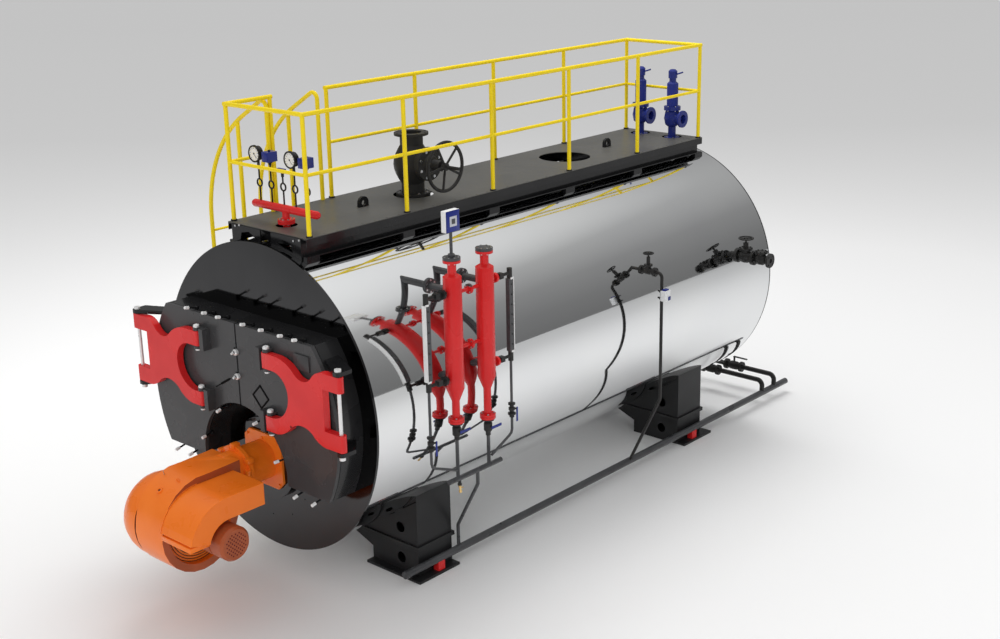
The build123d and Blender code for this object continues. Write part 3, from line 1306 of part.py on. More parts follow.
def make_gauge_connections():
    """The cocks between the columns and the gauge glasses, two to each glass."""
    pieces = []
    for column_y, glass_y, side in gauge_places():
        for z in GAUGE_GLASS_Z:
            arm = rod((COLUMN_X, column_y, z), (COLUMN_X, glass_y, z), 15)
            block = rod((COLUMN_X, glass_y, z - 48), (COLUMN_X, glass_y, z + 48), 25)
            cock_y = glass_y - side * 130
            cock = slab((COLUMN_X - 26, COLUMN_X + 26), (cock_y - 26, cock_y + 26), (z - 26, z + 26))
            flange = rod((COLUMN_X, column_y + side * 120, z), (COLUMN_X, column_y + side * 146, z), 46)
            pieces += cut_by(arm.fuse(block, cock, flange), column_cutters())
    return pieces


def make_gauge_glasses():
    """The two flat gauge glasses in their frames."""
    glasses = []
    low, high = GAUGE_GLASS_Z
    for _, glass_y, _ in gauge_places():
        glasses.append(slab((COLUMN_X - 24, COLUMN_X + 24), (glass_y - 30, glass_y + 30),
                            (low + 48, high - 48)))
    return glasses


def make_level_probe():
    """The rod on top of the first column that carries the transmitter."""
    y = COLUMN_Y[0]
    low = COLUMN_LID_Z
    return [turned([(0, low), (30, low), (30, low + 28), (14, low + 32), (14, TRANSMITTER_Z),
                    (0, TRANSMITTER_Z)], (COLUMN_X, y, 0), (0, 0, 1))]


def make_transmitter_head():
    """The square head of the level transmitter."""
    y = COLUMN_Y[0]
    return [slab((COLUMN_X - 30, COLUMN_X + 30), (y - 85, y + 85), (TRANSMITTER_Z, TRANSMITTER_Z + 190))]


def make_drain_valves():
    """The drain valves under the columns, with their short levers."""
    valves = []
    for y, neck_z in zip(COLUMN_Y, COLUMN_NECK_Z):
        top = neck_z - COLUMN_NECK_THICK
        low = top - DRAIN_VALVE_HEIGHT
        body = turned([(0, low), (24, low), (24, low + 30), (40, low + 50), (40, top - 50), (26, top - 36),
                       (26, top - 20), (60, top - 20), (60, top), (0, top)], (COLUMN_X, y, 0), (0, 0, 1))
        stem = rod((COLUMN_X, y, top - 85), (COLUMN_X + 62, y, top - 85), 9)
        lever = slab((COLUMN_X + 52, COLUMN_X + 62), (y - 10, y + 120), (top - 97, top - 73))
        valves.append(body.fuse(stem, lever))
    return valves


def make_drain_pipes():
    """The drain pipes, the collector under them and the leg down to the floor pipe."""
    collector = rod((COLUMN_X, COLLECTOR_Y[0], DRAIN_Z), (COLUMN_X, COLLECTOR_Y[1], DRAIN_Z), 24)
    drops = [rod((COLUMN_X, y, DRAIN_Z), (COLUMN_X, y, neck_z - COLUMN_NECK_THICK - DRAIN_VALVE_HEIGHT),
                 DRAIN_PIPE_RADIUS) for y, neck_z in zip(COLUMN_Y, COLUMN_NECK_Z)]
    start_y, end_y = DRAIN_LEG_Y
    leg = bent_pipe([(COLUMN_X, start_y, DRAIN_Z), (COLUMN_X, start_y, DRAIN_Z - DRAIN_LEG_DROP),
                     (FLOOR_PIPE_X, end_y, FLOOR_PIPE_Z + DRAIN_LEG_RISE),
                     (FLOOR_PIPE_X, end_y, FLOOR_PIPE_Z)], 60, DRAIN_PIPE_RADIUS)
    return cut_by(collector.fuse(*drops).fuse(leg), [floor_pipe_cutter()])


# Pipes along the floor


def floor_pipe_cutter():
    """The floor pipe, a little larger, which trims what meets it."""
    return rod((FLOOR_PIPE_X, FLOOR_PIPE_Y[0] - 100, FLOOR_PIPE_Z),
               (FLOOR_PIPE_X, FLOOR_PIPE_Y[1] + 100, FLOOR_PIPE_Z), FLOOR_PIPE_RADIUS + SEAT_GAP)


def make_floor_pipe():
    """The long pipe along the floor."""
    return [rod((FLOOR_PIPE_X, FLOOR_PIPE_Y[0], FLOOR_PIPE_Z), (FLOOR_PIPE_X, FLOOR_PIPE_Y[1], FLOOR_PIPE_Z),
                FLOOR_PIPE_RADIUS)]


def make_pipe_shoes():
    """The red shoes that hold the floor pipe on the feet of the right-hand legs."""
    foot_top = -AXIS_HEIGHT + FOOT_THICK
    middle = LEG_FRONT_Y + LEG_LENGTH / 2
    shoes = []
    for y in (middle, BODY_LENGTH - middle):
        shoe = slab((FLOOR_PIPE_X - 34, FLOOR_PIPE_X + 34), (y - 45, y + 45), (foot_top, FLOOR_PIPE_Z - 10))
        shoes += cut_by(shoe, [floor_pipe_cutter()])[:1]
    return shoes


# Sampling line and feed line


def make_sample_valve():
    """The sampling valve on its short pipe, with flanges and bonnet."""
    y, z, x = SAMPLE_Y, SAMPLE_Z, SAMPLE_VALVE_X
    bonnet_top = SAMPLE_WHEEL_Z - z + 12
    stub = rod((shell_x(z) - 60, y, z), (SAMPLE_END_X, y, z), SAMPLE_PIPE_RADIUS)
    parts = [flange_pair((x + side * SAMPLE_JOINT_REACH, y, z), (1, 0, 0), 48, 15)
             for side in (-1, 1)]
    parts.append(turned([(0, -58), (26, -58), (38, -24), (38, 24), (26, 58), (0, 58)], (x, y, z), (1, 0, 0)))
    parts.append(turned([(0, 0), (30, 0), (30, 52), (46, 54), (46, 70), (20, 72), (20, bonnet_top - 50),
                         (SAMPLE_STEM_RADIUS, bonnet_top - 50), (SAMPLE_STEM_RADIUS, bonnet_top),
                         (0, bonnet_top)], (x, y, z), (0, 0, 1)))
    return [seated(stub.fuse(*parts))]


def make_sample_wheel():
    """The sampling valve's handwheel."""
    return [bored_wheel((SAMPLE_VALVE_X, SAMPLE_Y, SAMPLE_WHEEL_Z), (0, 0, 1), 52, 7, SAMPLE_STEM_RADIUS, 4)]


def make_sample_line():
    """The sampling line, from the valve down the side and under the shell to the floor pipe."""
    line = bent_pipe([(SAMPLE_END_X, SAMPLE_Y, SAMPLE_Z), (SAMPLE_DROP_X, SAMPLE_Y, SAMPLE_Z),
                      (SAMPLE_DROP_X, SAMPLE_Y, SAMPLE_KNEE_Z),
                      (FLOOR_PIPE_X, SAMPLE_Y + SAMPLE_LEAN, FLOOR_PIPE_Z)], 50, SAMPLE_PIPE_RADIUS)
    return cut_by(line, [floor_pipe_cutter()])[:1]


def make_sample_box():
    """The small sensor box that is clamped to the sampling line."""
    z = SAMPLE_BOX_Z
    outer = SAMPLE_DROP_X + SAMPLE_PIPE_RADIUS
    box = slab((outer + SEAT_GAP, outer + 60), (SAMPLE_Y - 50, SAMPLE_Y + 50), (z - 55, z + 55))
    return [box]


def make_feed_line():
    """The feed line: nozzle, stop valve, check valve and end flange."""
    y, z, end, rim = FEED_Y, FEED_Z, FEED_END_X, FEED_FLANGE_RADIUS
    stem_top = FEED_WHEEL_Z - z + 12
    stub = rod((shell_x(z) - 60, y, z), (end - 24, y, z), FEED_PIPE_RADIUS)
    parts = [flange_pair((x, y, z), (1, 0, 0), rim, 20) for x in FEED_JOINT_X]
    parts.append(turned([(0, -84), (44, -84), (70, -36), (74, 0), (70, 36), (44, 84), (0, 84)],
                        (FEED_VALVE_X, y, z), (1, 0, 0)))
    parts.append(turned([(0, -60), (44, -60), (64, -30), (64, 30), (44, 60), (0, 60)],
                        (FEED_CHECK_X, y, z), (1, 0, 0)))
    parts.append(turned([(0, 0), (52, 0), (52, 70), (76, 72), (76, 90), (0, 90)],
                        (FEED_CHECK_X, y, z), (0, 0, 1)))
    parts.append(turned([(0, 0), (56, 0), (56, 78), (80, 80), (80, 98), (30, 100), (30, stem_top - 62),
                         (FEED_STEM_RADIUS, stem_top - 62), (FEED_STEM_RADIUS, stem_top), (0, stem_top)],
                        (FEED_VALVE_X, y, z), (0, 0, 1)))
    parts.append(turned([(0, -24), (rim, -24), (rim, 0), (26, 0), (26, -12), (0, -12)],
                        (end, y, z), (1, 0, 0)))
    line = stub.fuse(*parts)
    for index in range(FEED_BOLTS):
        turn = 2 * math.pi * (index + 0.5) / FEED_BOLTS
        y = FEED_Y + FEED_BOLT_CIRCLE / 2 * math.cos(turn)
        z = FEED_Z + FEED_BOLT_CIRCLE / 2 * math.sin(turn)
        line -= rod((FEED_END_X - 30, y, z), (FEED_END_X + 5, y, z), FEED_BOLT_HOLE_RADIUS)
    return [seated(line)]


def make_feed_wheel():
    """The feed stop valve's handwheel."""
    return [bored_wheel((FEED_VALVE_X, FEED_Y, FEED_WHEEL_Z), (0, 0, 1), 80, 9, FEED_STEM_RADIUS, 4)]


# Blowdown lines at the rear


def make_blowdown_lines():
    """The two blowdown lines, from under the shell round to the floor pipe."""
    lines = []
    z = BLOWDOWN_Z
    for x, y, valve_x in zip((BLOWDOWN_NOZZLE_X, -BLOWDOWN_NOZZLE_X), BLOWDOWN_Y, BLOWDOWN_VALVE_X):
        pipe = bent_pipe([(x, BLOWDOWN_NOZZLE_Y, -SHELL_RADIUS + 60), (x, BLOWDOWN_NOZZLE_Y, z), (x, y, z),
                          (FLOOR_PIPE_X, y, z), (FLOOR_PIPE_X, y, FLOOR_PIPE_Z)], 70, BLOWDOWN_RADIUS)
        pipe = pipe.fuse(flange_pair((valve_x - 110, y, z), (1, 0, 0), 66),
                         flange_pair((valve_x + 110, y, z), (1, 0, 0), 66),
                         turned([(0, -92), (34, -92), (54, -40), (54, 40), (34, 92), (0, 92)],
                                (valve_x, y, z), (1, 0, 0)))
        stem = rod((valve_x, y, z), (valve_x, y, z + 120), 12)
        grip = slab((valve_x - 12, valve_x + 190), (y - 12, y + 12), (z + 110, z + 122))
        piece = cut_by(pipe.fuse(stem, grip), [floor_pipe_cutter()])[0]
        lines.append(seated(piece))
    return lines


def build_nodes():
    """Every node's pieces, by name."""
    return {
        "shell": make_shell(),
        "front_plate": make_front_plate(),
        "rear_plate": make_rear_plate() + make_rear_cover(),
        "flue_outlet": make_flue_outlet(),
        "smokebox_roof_and_floor": make_smokebox_roof() + make_smokebox_floor(),
        "smokebox_sides": make_smokebox_sides(),
        "smokebox_arch": make_smokebox_arch(),
        "hinge_brackets": make_hinge_brackets(),
        "hinge_rods": make_hinge_rods(),
        "door_left": make_door(-1),
        "door_right": make_door(1),
        "hinge_plate_left": make_hinge_plate(-1),
        "hinge_plate_right": make_hinge_plate(1),
        "door_pins_left": make_door_pins(-1),
        "door_pins_right": make_door_pins(1),
        "seam_clamps": make_seam_clamps(),
        "burner_ring": make_burner_ring(),
        "burner_plate": make_burner_plate(),
        "burner_housing": make_burner_housing(),
        "burner_inlet": make_burner_inlet(),
        "burner_hood": make_burner_hood(),
        "burner_motor": make_burner_motor(),
        "front_legs": make_legs(0),
        "rear_legs": make_legs(1),
        "deck_plates": make_deck_panels(False),
        "manhole_panel": make_deck_panels(True),
        "deck_side_beams": make_deck_side_beams(),
        "deck_cross_beams": make_deck_cross_beams(),
        "deck_brackets": make_deck_brackets(),
        "lifting_lugs": make_lifting_lugs(),
        "guard_posts": make_guard_posts(),
        "top_rail": make_top_rail(),
        "mid_rails": make_mid_rails(),
        "handrail_arches": make_handrail_arches(),
        "handrail_props": make_handrail_props(),
        "ladder_stiles": make_ladder_stiles(),
        "ladder_rungs": make_ladder_rungs(),
        "stop_valve_body": make_stop_valve_body(),
        "stop_valve_bonnet": make_stop_valve_bonnet(),
        "stop_valve_wheel": make_stop_valve_wheel(),
        "gauge_header": make_header(),
        "siphons": make_siphons(),
        "pressure_gauges": make_pressure_gauges(),
        "pressure_switches": make_pressure_switches() + make_header_valve(),
        "safety_valve_bodies": make_safety_valve_bodies(),
        "safety_valve_bonnets": make_safety_valve_bonnets(),
        "level_columns": make_level_columns(),
        "column_pipes": make_column_branches() + make_column_links(),
        "gauge_connections": make_gauge_connections(),
        "gauge_glasses": make_gauge_glasses(),
        "level_transmitter": make_level_probe() + make_transmitter_head(),
        "drain_valves": make_drain_valves(),
        "drain_pipes": make_drain_pipes(),
        "floor_pipe": make_floor_pipe() + make_pipe_shoes(),
        "sample_line": make_sample_valve() + make_sample_line(),
        "sample_wheel": make_sample_wheel(),
        "sample_box": make_sample_box(),
        "feed_line": make_feed_line(),
        "feed_wheel": make_feed_wheel(),
        "blowdown_lines": make_blowdown_lines(),
    }


def main():
    """Move every piece to the part's frame and write one file for each node."""
    os.makedirs("parts", exist_ok=True)
    place = Location((0, -BODY_LENGTH / 2, AXIS_HEIGHT))
    for name, solids in build_nodes().items():
        pieces = [solid.moved(place) for solid in solids]
        shape = pieces[0] if len(pieces) == 1 else Compound(children=pieces)
        export_step(shape, f"parts/{name}.step")


main()
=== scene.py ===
"""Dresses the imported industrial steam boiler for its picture.

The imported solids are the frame. Every sub-assembly of the boiler is a class that gives its
solids their finishes and adds the small pieces that the solids leave out, such as bolts, dials
and perforations. Sizes and places are millimetres of the maker's drawing, from the shell's
axis and the front plate's face. The frame is in metres, with its origin on the floor under the
axis and midway between the pairs of legs, +Y to the rear end and +X to the level columns.
"""

from __future__ import annotations

import json
import logging
import math
from dataclasses import dataclass
from enum import Enum
from typing import Callable, Iterable, Sequence

import bmesh
import bpy
from mathutils import Matrix, Vector

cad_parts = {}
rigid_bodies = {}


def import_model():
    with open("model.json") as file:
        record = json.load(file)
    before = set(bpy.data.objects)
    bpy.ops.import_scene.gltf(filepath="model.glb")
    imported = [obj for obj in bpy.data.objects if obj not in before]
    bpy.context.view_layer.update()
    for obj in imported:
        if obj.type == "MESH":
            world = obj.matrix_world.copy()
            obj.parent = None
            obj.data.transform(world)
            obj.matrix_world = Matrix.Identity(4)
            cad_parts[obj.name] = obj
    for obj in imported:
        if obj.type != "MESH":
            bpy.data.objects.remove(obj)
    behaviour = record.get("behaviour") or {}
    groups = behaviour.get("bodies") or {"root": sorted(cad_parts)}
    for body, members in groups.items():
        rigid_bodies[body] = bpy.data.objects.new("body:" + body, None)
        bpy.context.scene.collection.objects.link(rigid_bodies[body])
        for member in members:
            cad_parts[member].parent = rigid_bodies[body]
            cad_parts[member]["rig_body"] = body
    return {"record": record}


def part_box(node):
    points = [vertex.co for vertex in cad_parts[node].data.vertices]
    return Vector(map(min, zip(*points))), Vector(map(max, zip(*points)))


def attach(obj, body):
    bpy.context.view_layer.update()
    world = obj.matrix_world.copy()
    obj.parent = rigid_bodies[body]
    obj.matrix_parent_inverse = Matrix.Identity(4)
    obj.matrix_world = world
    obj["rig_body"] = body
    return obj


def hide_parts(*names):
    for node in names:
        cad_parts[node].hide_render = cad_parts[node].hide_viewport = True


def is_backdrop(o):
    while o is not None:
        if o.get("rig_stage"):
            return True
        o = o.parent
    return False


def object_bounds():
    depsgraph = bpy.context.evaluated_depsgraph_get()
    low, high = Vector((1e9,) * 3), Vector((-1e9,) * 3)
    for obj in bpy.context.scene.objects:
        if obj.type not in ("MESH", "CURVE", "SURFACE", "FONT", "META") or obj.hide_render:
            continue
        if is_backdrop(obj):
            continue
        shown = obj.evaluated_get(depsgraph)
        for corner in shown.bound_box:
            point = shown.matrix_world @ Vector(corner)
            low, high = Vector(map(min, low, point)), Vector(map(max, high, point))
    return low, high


LOG = logging.getLogger("boiler")
Pair = tuple[float, float]
Point = tuple[float, float, float]

MM = 0.001
SHELL_AXIS_HEIGHT = 1.840
FRONT_PLATE_FACE = -3.2085
SMOOTH_ANGLE = 32.0

FRONT = (0.0, -1.0, 0.0)
REAR = (0.0, 1.0, 0.0)
LEFT = (-1.0, 0.0, 0.0)
RIGHT = (1.0, 0.0, 0.0)
UP = (0.0, 0.0, 1.0)
DOWN = (0.0, 0.0, -1.0)


class Body(Enum):
    """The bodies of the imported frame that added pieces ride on."""

    BOILER = "boiler"
    DOOR_LEFT = "door_left_body"
    DOOR_RIGHT = "door_right_body"


class Slot(Enum):
    """The record's material slots that added pieces stand for."""

    BLACK = "black_paint"
    RED = "red_paint"
    ORANGE = "orange_paint"
    YELLOW = "yellow_paint"
    BLUE = "blue_paint"
    STEEL = "steel"
    WHITE = "white_plastic"


# Places


def drawn(point: Sequence[float]) -> Vector:
    """Turn a point of the drawing into a point of the frame, in metres."""
    x, y, z = point
    return Vector((x * MM, y * MM + FRONT_PLATE_FACE, z * MM + SHELL_AXIS_HEIGHT))


def loose(point: Sequence[float]) -> Vector:
    """Turn a point of a template, measured from the template's own origin, into metres."""
    return Vector([value * MM for value in point])


def facing(axis: Sequence[float]) -> Matrix:
    """Give the turn that points Z along an axis."""
    return Vector(axis).normalized().to_track_quat("Z", "Y").to_matrix().to_4x4()


def at(centre: Sequence[float], axis: Sequence[float]) -> Matrix:
    """Give the place at a point of the drawing with Z along an axis."""
    return Matrix.Translation(drawn(centre)) @ facing(axis)


def spot(centre: Sequence[float]) -> Matrix:
    """Give the unturned place at a point of the drawing."""
    return Matrix.Translation(drawn(centre))


def arc(radius: float, start: float, end: float, steps: int) -> list[Pair]:
    """Give the points of an arc about nought, between two angles in degrees."""
    turns = (math.radians(start + (end - start) * k / steps) for k in range(steps + 1))
    return [(radius * math.cos(turn), radius * math.sin(turn)) for turn in turns]


# Node trees


class Wiring:
    """A node tree, with one call for each node."""

    def __init__(self, tree: bpy.types.NodeTree) -> None:
        """Keep the tree that the nodes go to."""
        self.tree = tree

    def node(self, kind: str, operation: str = "", **inputs: object) -> bpy.types.Node:
        """Add a node and fill its inputs.

        Args:
            kind: The node's type.
            operation: What it works out, for a node that has a choice.
            **inputs: As for fill.

        Returns:
            The node.
        """
        made = self.tree.nodes.new(kind)
        if operation:
            made.operation = operation
        self.fill(made, **inputs)
        return made

    def fill(self, node: bpy.types.Node, **inputs: object) -> None:
        """Give a node's inputs their values or links.

        Args:
            node: The node.
            **inputs: A value, or the output to link, under the input's name with underscores
                for spaces, or under its number after one underscore.
        """
        for name, value in inputs.items():
            key = int(name[1:]) if name.startswith("_") else name.replace("_", " ")
            if isinstance(value, bpy.types.NodeSocket):
                self.tree.links.new(value, node.inputs[key])
            else:
                node.inputs[key].default_value = value

    def times(self, first: object, second: object) -> bpy.types.NodeSocket:
        """Multiply two values or outputs and return the product's output."""
        return self.node("ShaderNodeMath", "MULTIPLY", _0=first, _1=second).outputs["Value"]

    def ramp(
        self, along: bpy.types.NodeSocket, stops: Sequence[tuple[float, Point]]
    ) -> bpy.types.NodeSocket:
        """Add a colour ramp.

        Args:
            along: The output that it reads.
            stops: Position and tone of each stop.

        Returns:
            The ramp's colour output.
        """
        made = self.node("ShaderNodeValToRGB", Fac=along)
        marks = made.color_ramp.elements
        while len(marks) < len(stops):
            marks.new(0.5)
        for mark, (position, tone) in zip(marks, stops):
            mark.position = position
            mark.color = (*tone, 1.0)
        return made.outputs["Color"]


class RepeatTree(Wiring):
    """A geometry tree that sets copies of a piece on points and paints them."""

    def __init__(self, title: str, **kinds: str) -> None:
        """Start the tree.

        Args:
            title: Its name.
            **kinds: The kind of each input, such as Float or Object, by the input's name.
        """
        super().__init__(bpy.data.node_groups.new(title, "GeometryNodeTree"))
        sockets = self.tree.interface
        sockets.new_socket("Geometry", in_out="OUTPUT", socket_type="NodeSocketGeometry")
        for name, kind in (*kinds.items(), ("Paint", "Material")):
            sockets.new_socket(name, in_out="INPUT", socket_type=f"NodeSocket{kind}")
        self._given = self.node("NodeGroupInput")

    def given(self, name: str) -> bpy.types.NodeSocket:
        """Return the output that carries one of the tree's own inputs."""
        return self._given.outputs[name]

    def repeat(self, points: bpy.types.NodeSocket, piece: bpy.types.NodeSocket, **turn: object) -> None:
        """Set the piece on the points, realize the copies and paint them.

        Args:
            points: The output with the points.
            piece: The output with the piece.
            **turn: The copies' Rotation, where they have one.
        """
        copies = self.node("GeometryNodeInstanceOnPoints", Points=points, Instance=piece, **turn)
        real = self.node("GeometryNodeRealizeInstances", Geometry=copies.outputs["Instances"])
        painted = self.node("GeometryNodeSetMaterial", Geometry=real.outputs["Geometry"],
                            Material=self.given("Paint"))
        self.node("NodeGroupOutput", Geometry=painted.outputs["Geometry"])

    def run(self, **sizes: object) -> bpy.types.Mesh:
        """Evaluate the tree once and keep its result as a plain mesh.

        Args:
            **sizes: A value for each of the tree's inputs.

        Returns:
            The realized mesh, about the origin.
        """
        host = linked("host", bpy.data.meshes.new("blank"))
        modifier = host.modifiers.new("nodes", "NODES")
        modifier.node_group = self.tree
        for item in self.tree.interface.items_tree:
            if item.in_out == "INPUT":
                modifier[item.identifier] = sizes[item.name]
        graph = bpy.context.evaluated_depsgraph_get()
        mesh = bpy.data.meshes.new_from_object(host.evaluated_get(graph), depsgraph=graph)
        bpy.data.objects.remove(host)
        return mesh


def linked(title: str, data: bpy.types.ID) -> bpy.types.Object:
    """Make an object and link it to the scene."""
    made = bpy.data.objects.new(title, data)
    bpy.context.scene.collection.objects.link(made)
    return made


# Finishes


@dataclass(frozen=True)
class Finish:
    """A surface finish with a little unevenness in its tone, gloss and relief.

    The two tones are mixed by a soft noise, the roughness wanders between its two ends, and a
    fine noise gives the relief.
    """

    title: str
    tone: Point
    second_tone: Point
    roughness: Pair
    metallic: float = 0.0
    specular: float = 0.25
    coat: float = 0.0
    coat_roughness: float = 0.05
    patch_scale: float = 3.0
    patch_ends: Pair = (0.35, 0.65)
    gloss_ends: Pair = (0.3, 0.7)
    relief_scale: float = 90.0
    relief: float = 0.04
    relief_depth: float = 0.002

    def material(self) -> bpy.types.Material:
        """Build the finish's material, or fetch it if it is built already.

        Returns:
            The material, with a Principled shader fed by noise on Object coordinates.
        """
        known = bpy.data.materials.get(self.title)
        if known:
            return known
        made = bpy.data.materials.new(self.title)
        made.use_nodes = True
        wiring = Wiring(made.node_tree)
        place = wiring.node("ShaderNodeTexCoord").outputs["Object"]
        patches, grain = (
            wiring.node("ShaderNodeTexNoise", Vector=place, Scale=scale, Detail=detail).outputs["Fac"]
            for scale, detail in ((self.patch_scale, 3.0), (self.relief_scale, 2.0))
        )
        gloss = wiring.node("ShaderNodeMapRange", Value=patches, From_Min=self.gloss_ends[0],
                            From_Max=self.gloss_ends[1], To_Min=self.roughness[0], To_Max=self.roughness[1])
        bump = wiring.node("ShaderNodeBump", Strength=self.relief, Distance=self.relief_depth, Height=grain)
        wiring.fill(
            made.node_tree.nodes["Principled BSDF"],
            Base_Color=wiring.ramp(patches, tuple(zip(self.patch_ends, (self.tone, self.second_tone)))),
            Metallic=self.metallic, Roughness=gloss.outputs["Result"], Specular_IOR_Level=self.specular,
            Coat_Weight=self.coat, Coat_Roughness=self.coat_roughness, Normal=bump.outputs["Normal"],
        )
        return made


MIRROR_STEEL = Finish("mirror_steel", (0.80, 0.81, 0.82), (0.83, 0.84, 0.84), (0.035, 0.06), metallic=1.0,
                      patch_scale=0.8, relief_scale=1.4, relief=0.02)
DARK_MIRROR = Finish("dark_mirror_enamel", (0.052, 0.052, 0.054), (0.062, 0.062, 0.064), (0.04, 0.08),
                     metallic=1.0, patch_scale=1.2, relief_scale=2.0, relief=0.01)
BLACK_GLOSS = Finish("black_gloss_paint", (0.008, 0.008, 0.009), (0.013, 0.013, 0.014), (0.16, 0.26),
                     coat=0.15, relief_scale=160.0, relief=0.05)
DOOR_GREY = Finish("charcoal_paint", (0.050, 0.050, 0.052), (0.058, 0.058, 0.060), (0.22, 0.32),
                   coat=0.05, relief_scale=200.0, relief=0.06)
CASTING_BLACK = Finish("black_casting", (0.018, 0.018, 0.018), (0.03, 0.029, 0.028), (0.32, 0.5),
                       relief_scale=260.0, relief=0.25)
DECK_GREY = Finish("deck_paint", (0.085, 0.084, 0.078), (0.10, 0.098, 0.092), (0.28, 0.42),
                   patch_scale=2.0, relief_scale=240.0, relief=0.1)
RED_GLOSS = Finish("red_gloss_paint", (0.66, 0.016, 0.018), (0.73, 0.024, 0.025), (0.2, 0.3),
                   coat=0.12, relief_scale=180.0, relief=0.05)
ORANGE_GLOSS = Finish("orange_enamel", (0.92, 0.19, 0.012), (0.96, 0.215, 0.018), (0.25, 0.36),
                      coat=0.12, relief_scale=200.0, relief=0.06)
# Painted shade: a darker copy of the orange enamel, put on orange faces that turn away from the light instead
# of a paint of their own.
SHADED_ORANGE = Finish("shaded_orange_enamel", (0.36, 0.080, 0.026), (0.42, 0.095, 0.032), (0.3, 0.42),
                     coat=0.08, patch_scale=6.0, relief_scale=160.0, relief=0.05)
YELLOW_GLOSS = Finish("yellow_rail_paint", (0.94, 0.70, 0.006), (0.98, 0.75, 0.010), (0.22, 0.32),
                      coat=0.08, relief_scale=220.0, relief=0.05)
BLUE_GLOSS = Finish("blue_gloss_paint", (0.014, 0.026, 0.20), (0.020, 0.034, 0.25), (0.2, 0.3),
                    coat=0.12, relief_scale=200.0, relief=0.06)
SMOKEBOX_BLACK = Finish("smokebox_black", (0.012, 0.012, 0.013), (0.02, 0.02, 0.021), (0.2, 0.32),
                        coat=0.3, relief_scale=180.0, relief=0.06)
LEG_GREY = Finish("leg_charcoal", (0.015, 0.015, 0.016), (0.021, 0.021, 0.022), (0.3, 0.45),
                  relief_scale=200.0, relief=0.08)
PIPE_GREY = Finish("grey_pipe_paint", (0.055, 0.056, 0.06), (0.075, 0.076, 0.08), (0.25, 0.38),
                   coat=0.2, relief_scale=200.0, relief=0.08)
MATT_BLACK = Finish("matt_black", (0.002, 0.002, 0.002), (0.004, 0.004, 0.004), (0.7, 0.85),
                    specular=0.1, relief_scale=200.0)
SLOT_RED = Finish("slot_red", (0.10, 0.008, 0.006), (0.14, 0.012, 0.008), (0.4, 0.6), relief=0.02)
BARE_STEEL = Finish("bare_steel", (0.55, 0.56, 0.57), (0.65, 0.65, 0.66), (0.22, 0.34), metallic=1.0,
                    patch_scale=20.0, relief_scale=300.0, relief=0.06)
BRIGHT_ZINC = Finish("bright_zinc", (0.80, 0.80, 0.80), (0.88, 0.88, 0.88), (0.25, 0.4), metallic=0.45,
                     patch_scale=20.0, relief_scale=300.0, relief=0.05)
BRASS = Finish("brass", (0.80, 0.55, 0.22), (0.86, 0.62, 0.28), (0.25, 0.4), metallic=1.0,
               patch_scale=20.0, relief=0.05)
DIAL_WHITE = Finish("dial_white", (0.82, 0.82, 0.82), (0.86, 0.86, 0.86), (0.35, 0.45), relief=0.0)
SCREEN = Finish("window_light_grey", (0.52, 0.53, 0.58), (0.60, 0.61, 0.66), (0.12, 0.2), relief=0.0)
WHITE_PLASTIC = Finish("white_plastic", (0.75, 0.76, 0.78), (0.80, 0.80, 0.81), (0.3, 0.4),
                       relief_scale=300.0, relief=0.03)


@dataclass(frozen=True)
class Tint:
    """A second finish for the faces of a node whose middle lies in a box of the drawing."""

    finish: Finish
    low: Point
    high: Point

    def holds(self, middle: Vector) -> bool:
        """Tell whether a face's middle, in metres, lies in the box."""
        return all(a <= value <= b for a, value, b in zip(drawn(self.low), middle, drawn(self.high)))


# The studio


@dataclass
class Viewpoint:
    """The camera, where the photograph was taken from, in metres and degrees."""

    place: Point = (9.7758, -10.7774, 6.4107)
    yaw: float = 42.132
    pitch: float = 17.573
    roll: float = -1.152
    lens: float = 50.5
    sensor: float = 36.0
    reach: float = 500.0

    def build(self) -> None:
        """Make the camera and hand it to the scene."""
        yaw, pitch, roll = (math.radians(a) for a in (self.yaw, self.pitch, self.roll))
        ahead = Vector((-math.sin(yaw) * math.cos(pitch), math.cos(yaw) * math.cos(pitch), -math.sin(pitch)))
        right = Vector((math.cos(yaw), math.sin(yaw), 0.0))
        above = right.cross(ahead)
        side = right * math.cos(roll) + above * math.sin(roll)
        top = above * math.cos(roll) - right * math.sin(roll)
        lens = bpy.data.cameras.new("viewpoint")
        lens.lens = self.lens
        lens.sensor_width = self.sensor
        lens.sensor_fit = "HORIZONTAL"
        lens.clip_end = self.reach
        camera = linked("viewpoint", lens)
        turn = Matrix((side, top, -ahead)).transposed().to_4x4()
        camera.matrix_world = Matrix.Translation(Vector(self.place)) @ turn
        bpy.context.scene.camera = camera


@dataclass(frozen=True)
class Lamp:
    """A square soft lamp: where it hangs and its side, in metres, and its power in watts."""

    title: str
    place: Point
    size: float
    watts: float


def grey(level: float) -> Point:
    """Give an even tone of one brightness."""
    return (level, level, level)


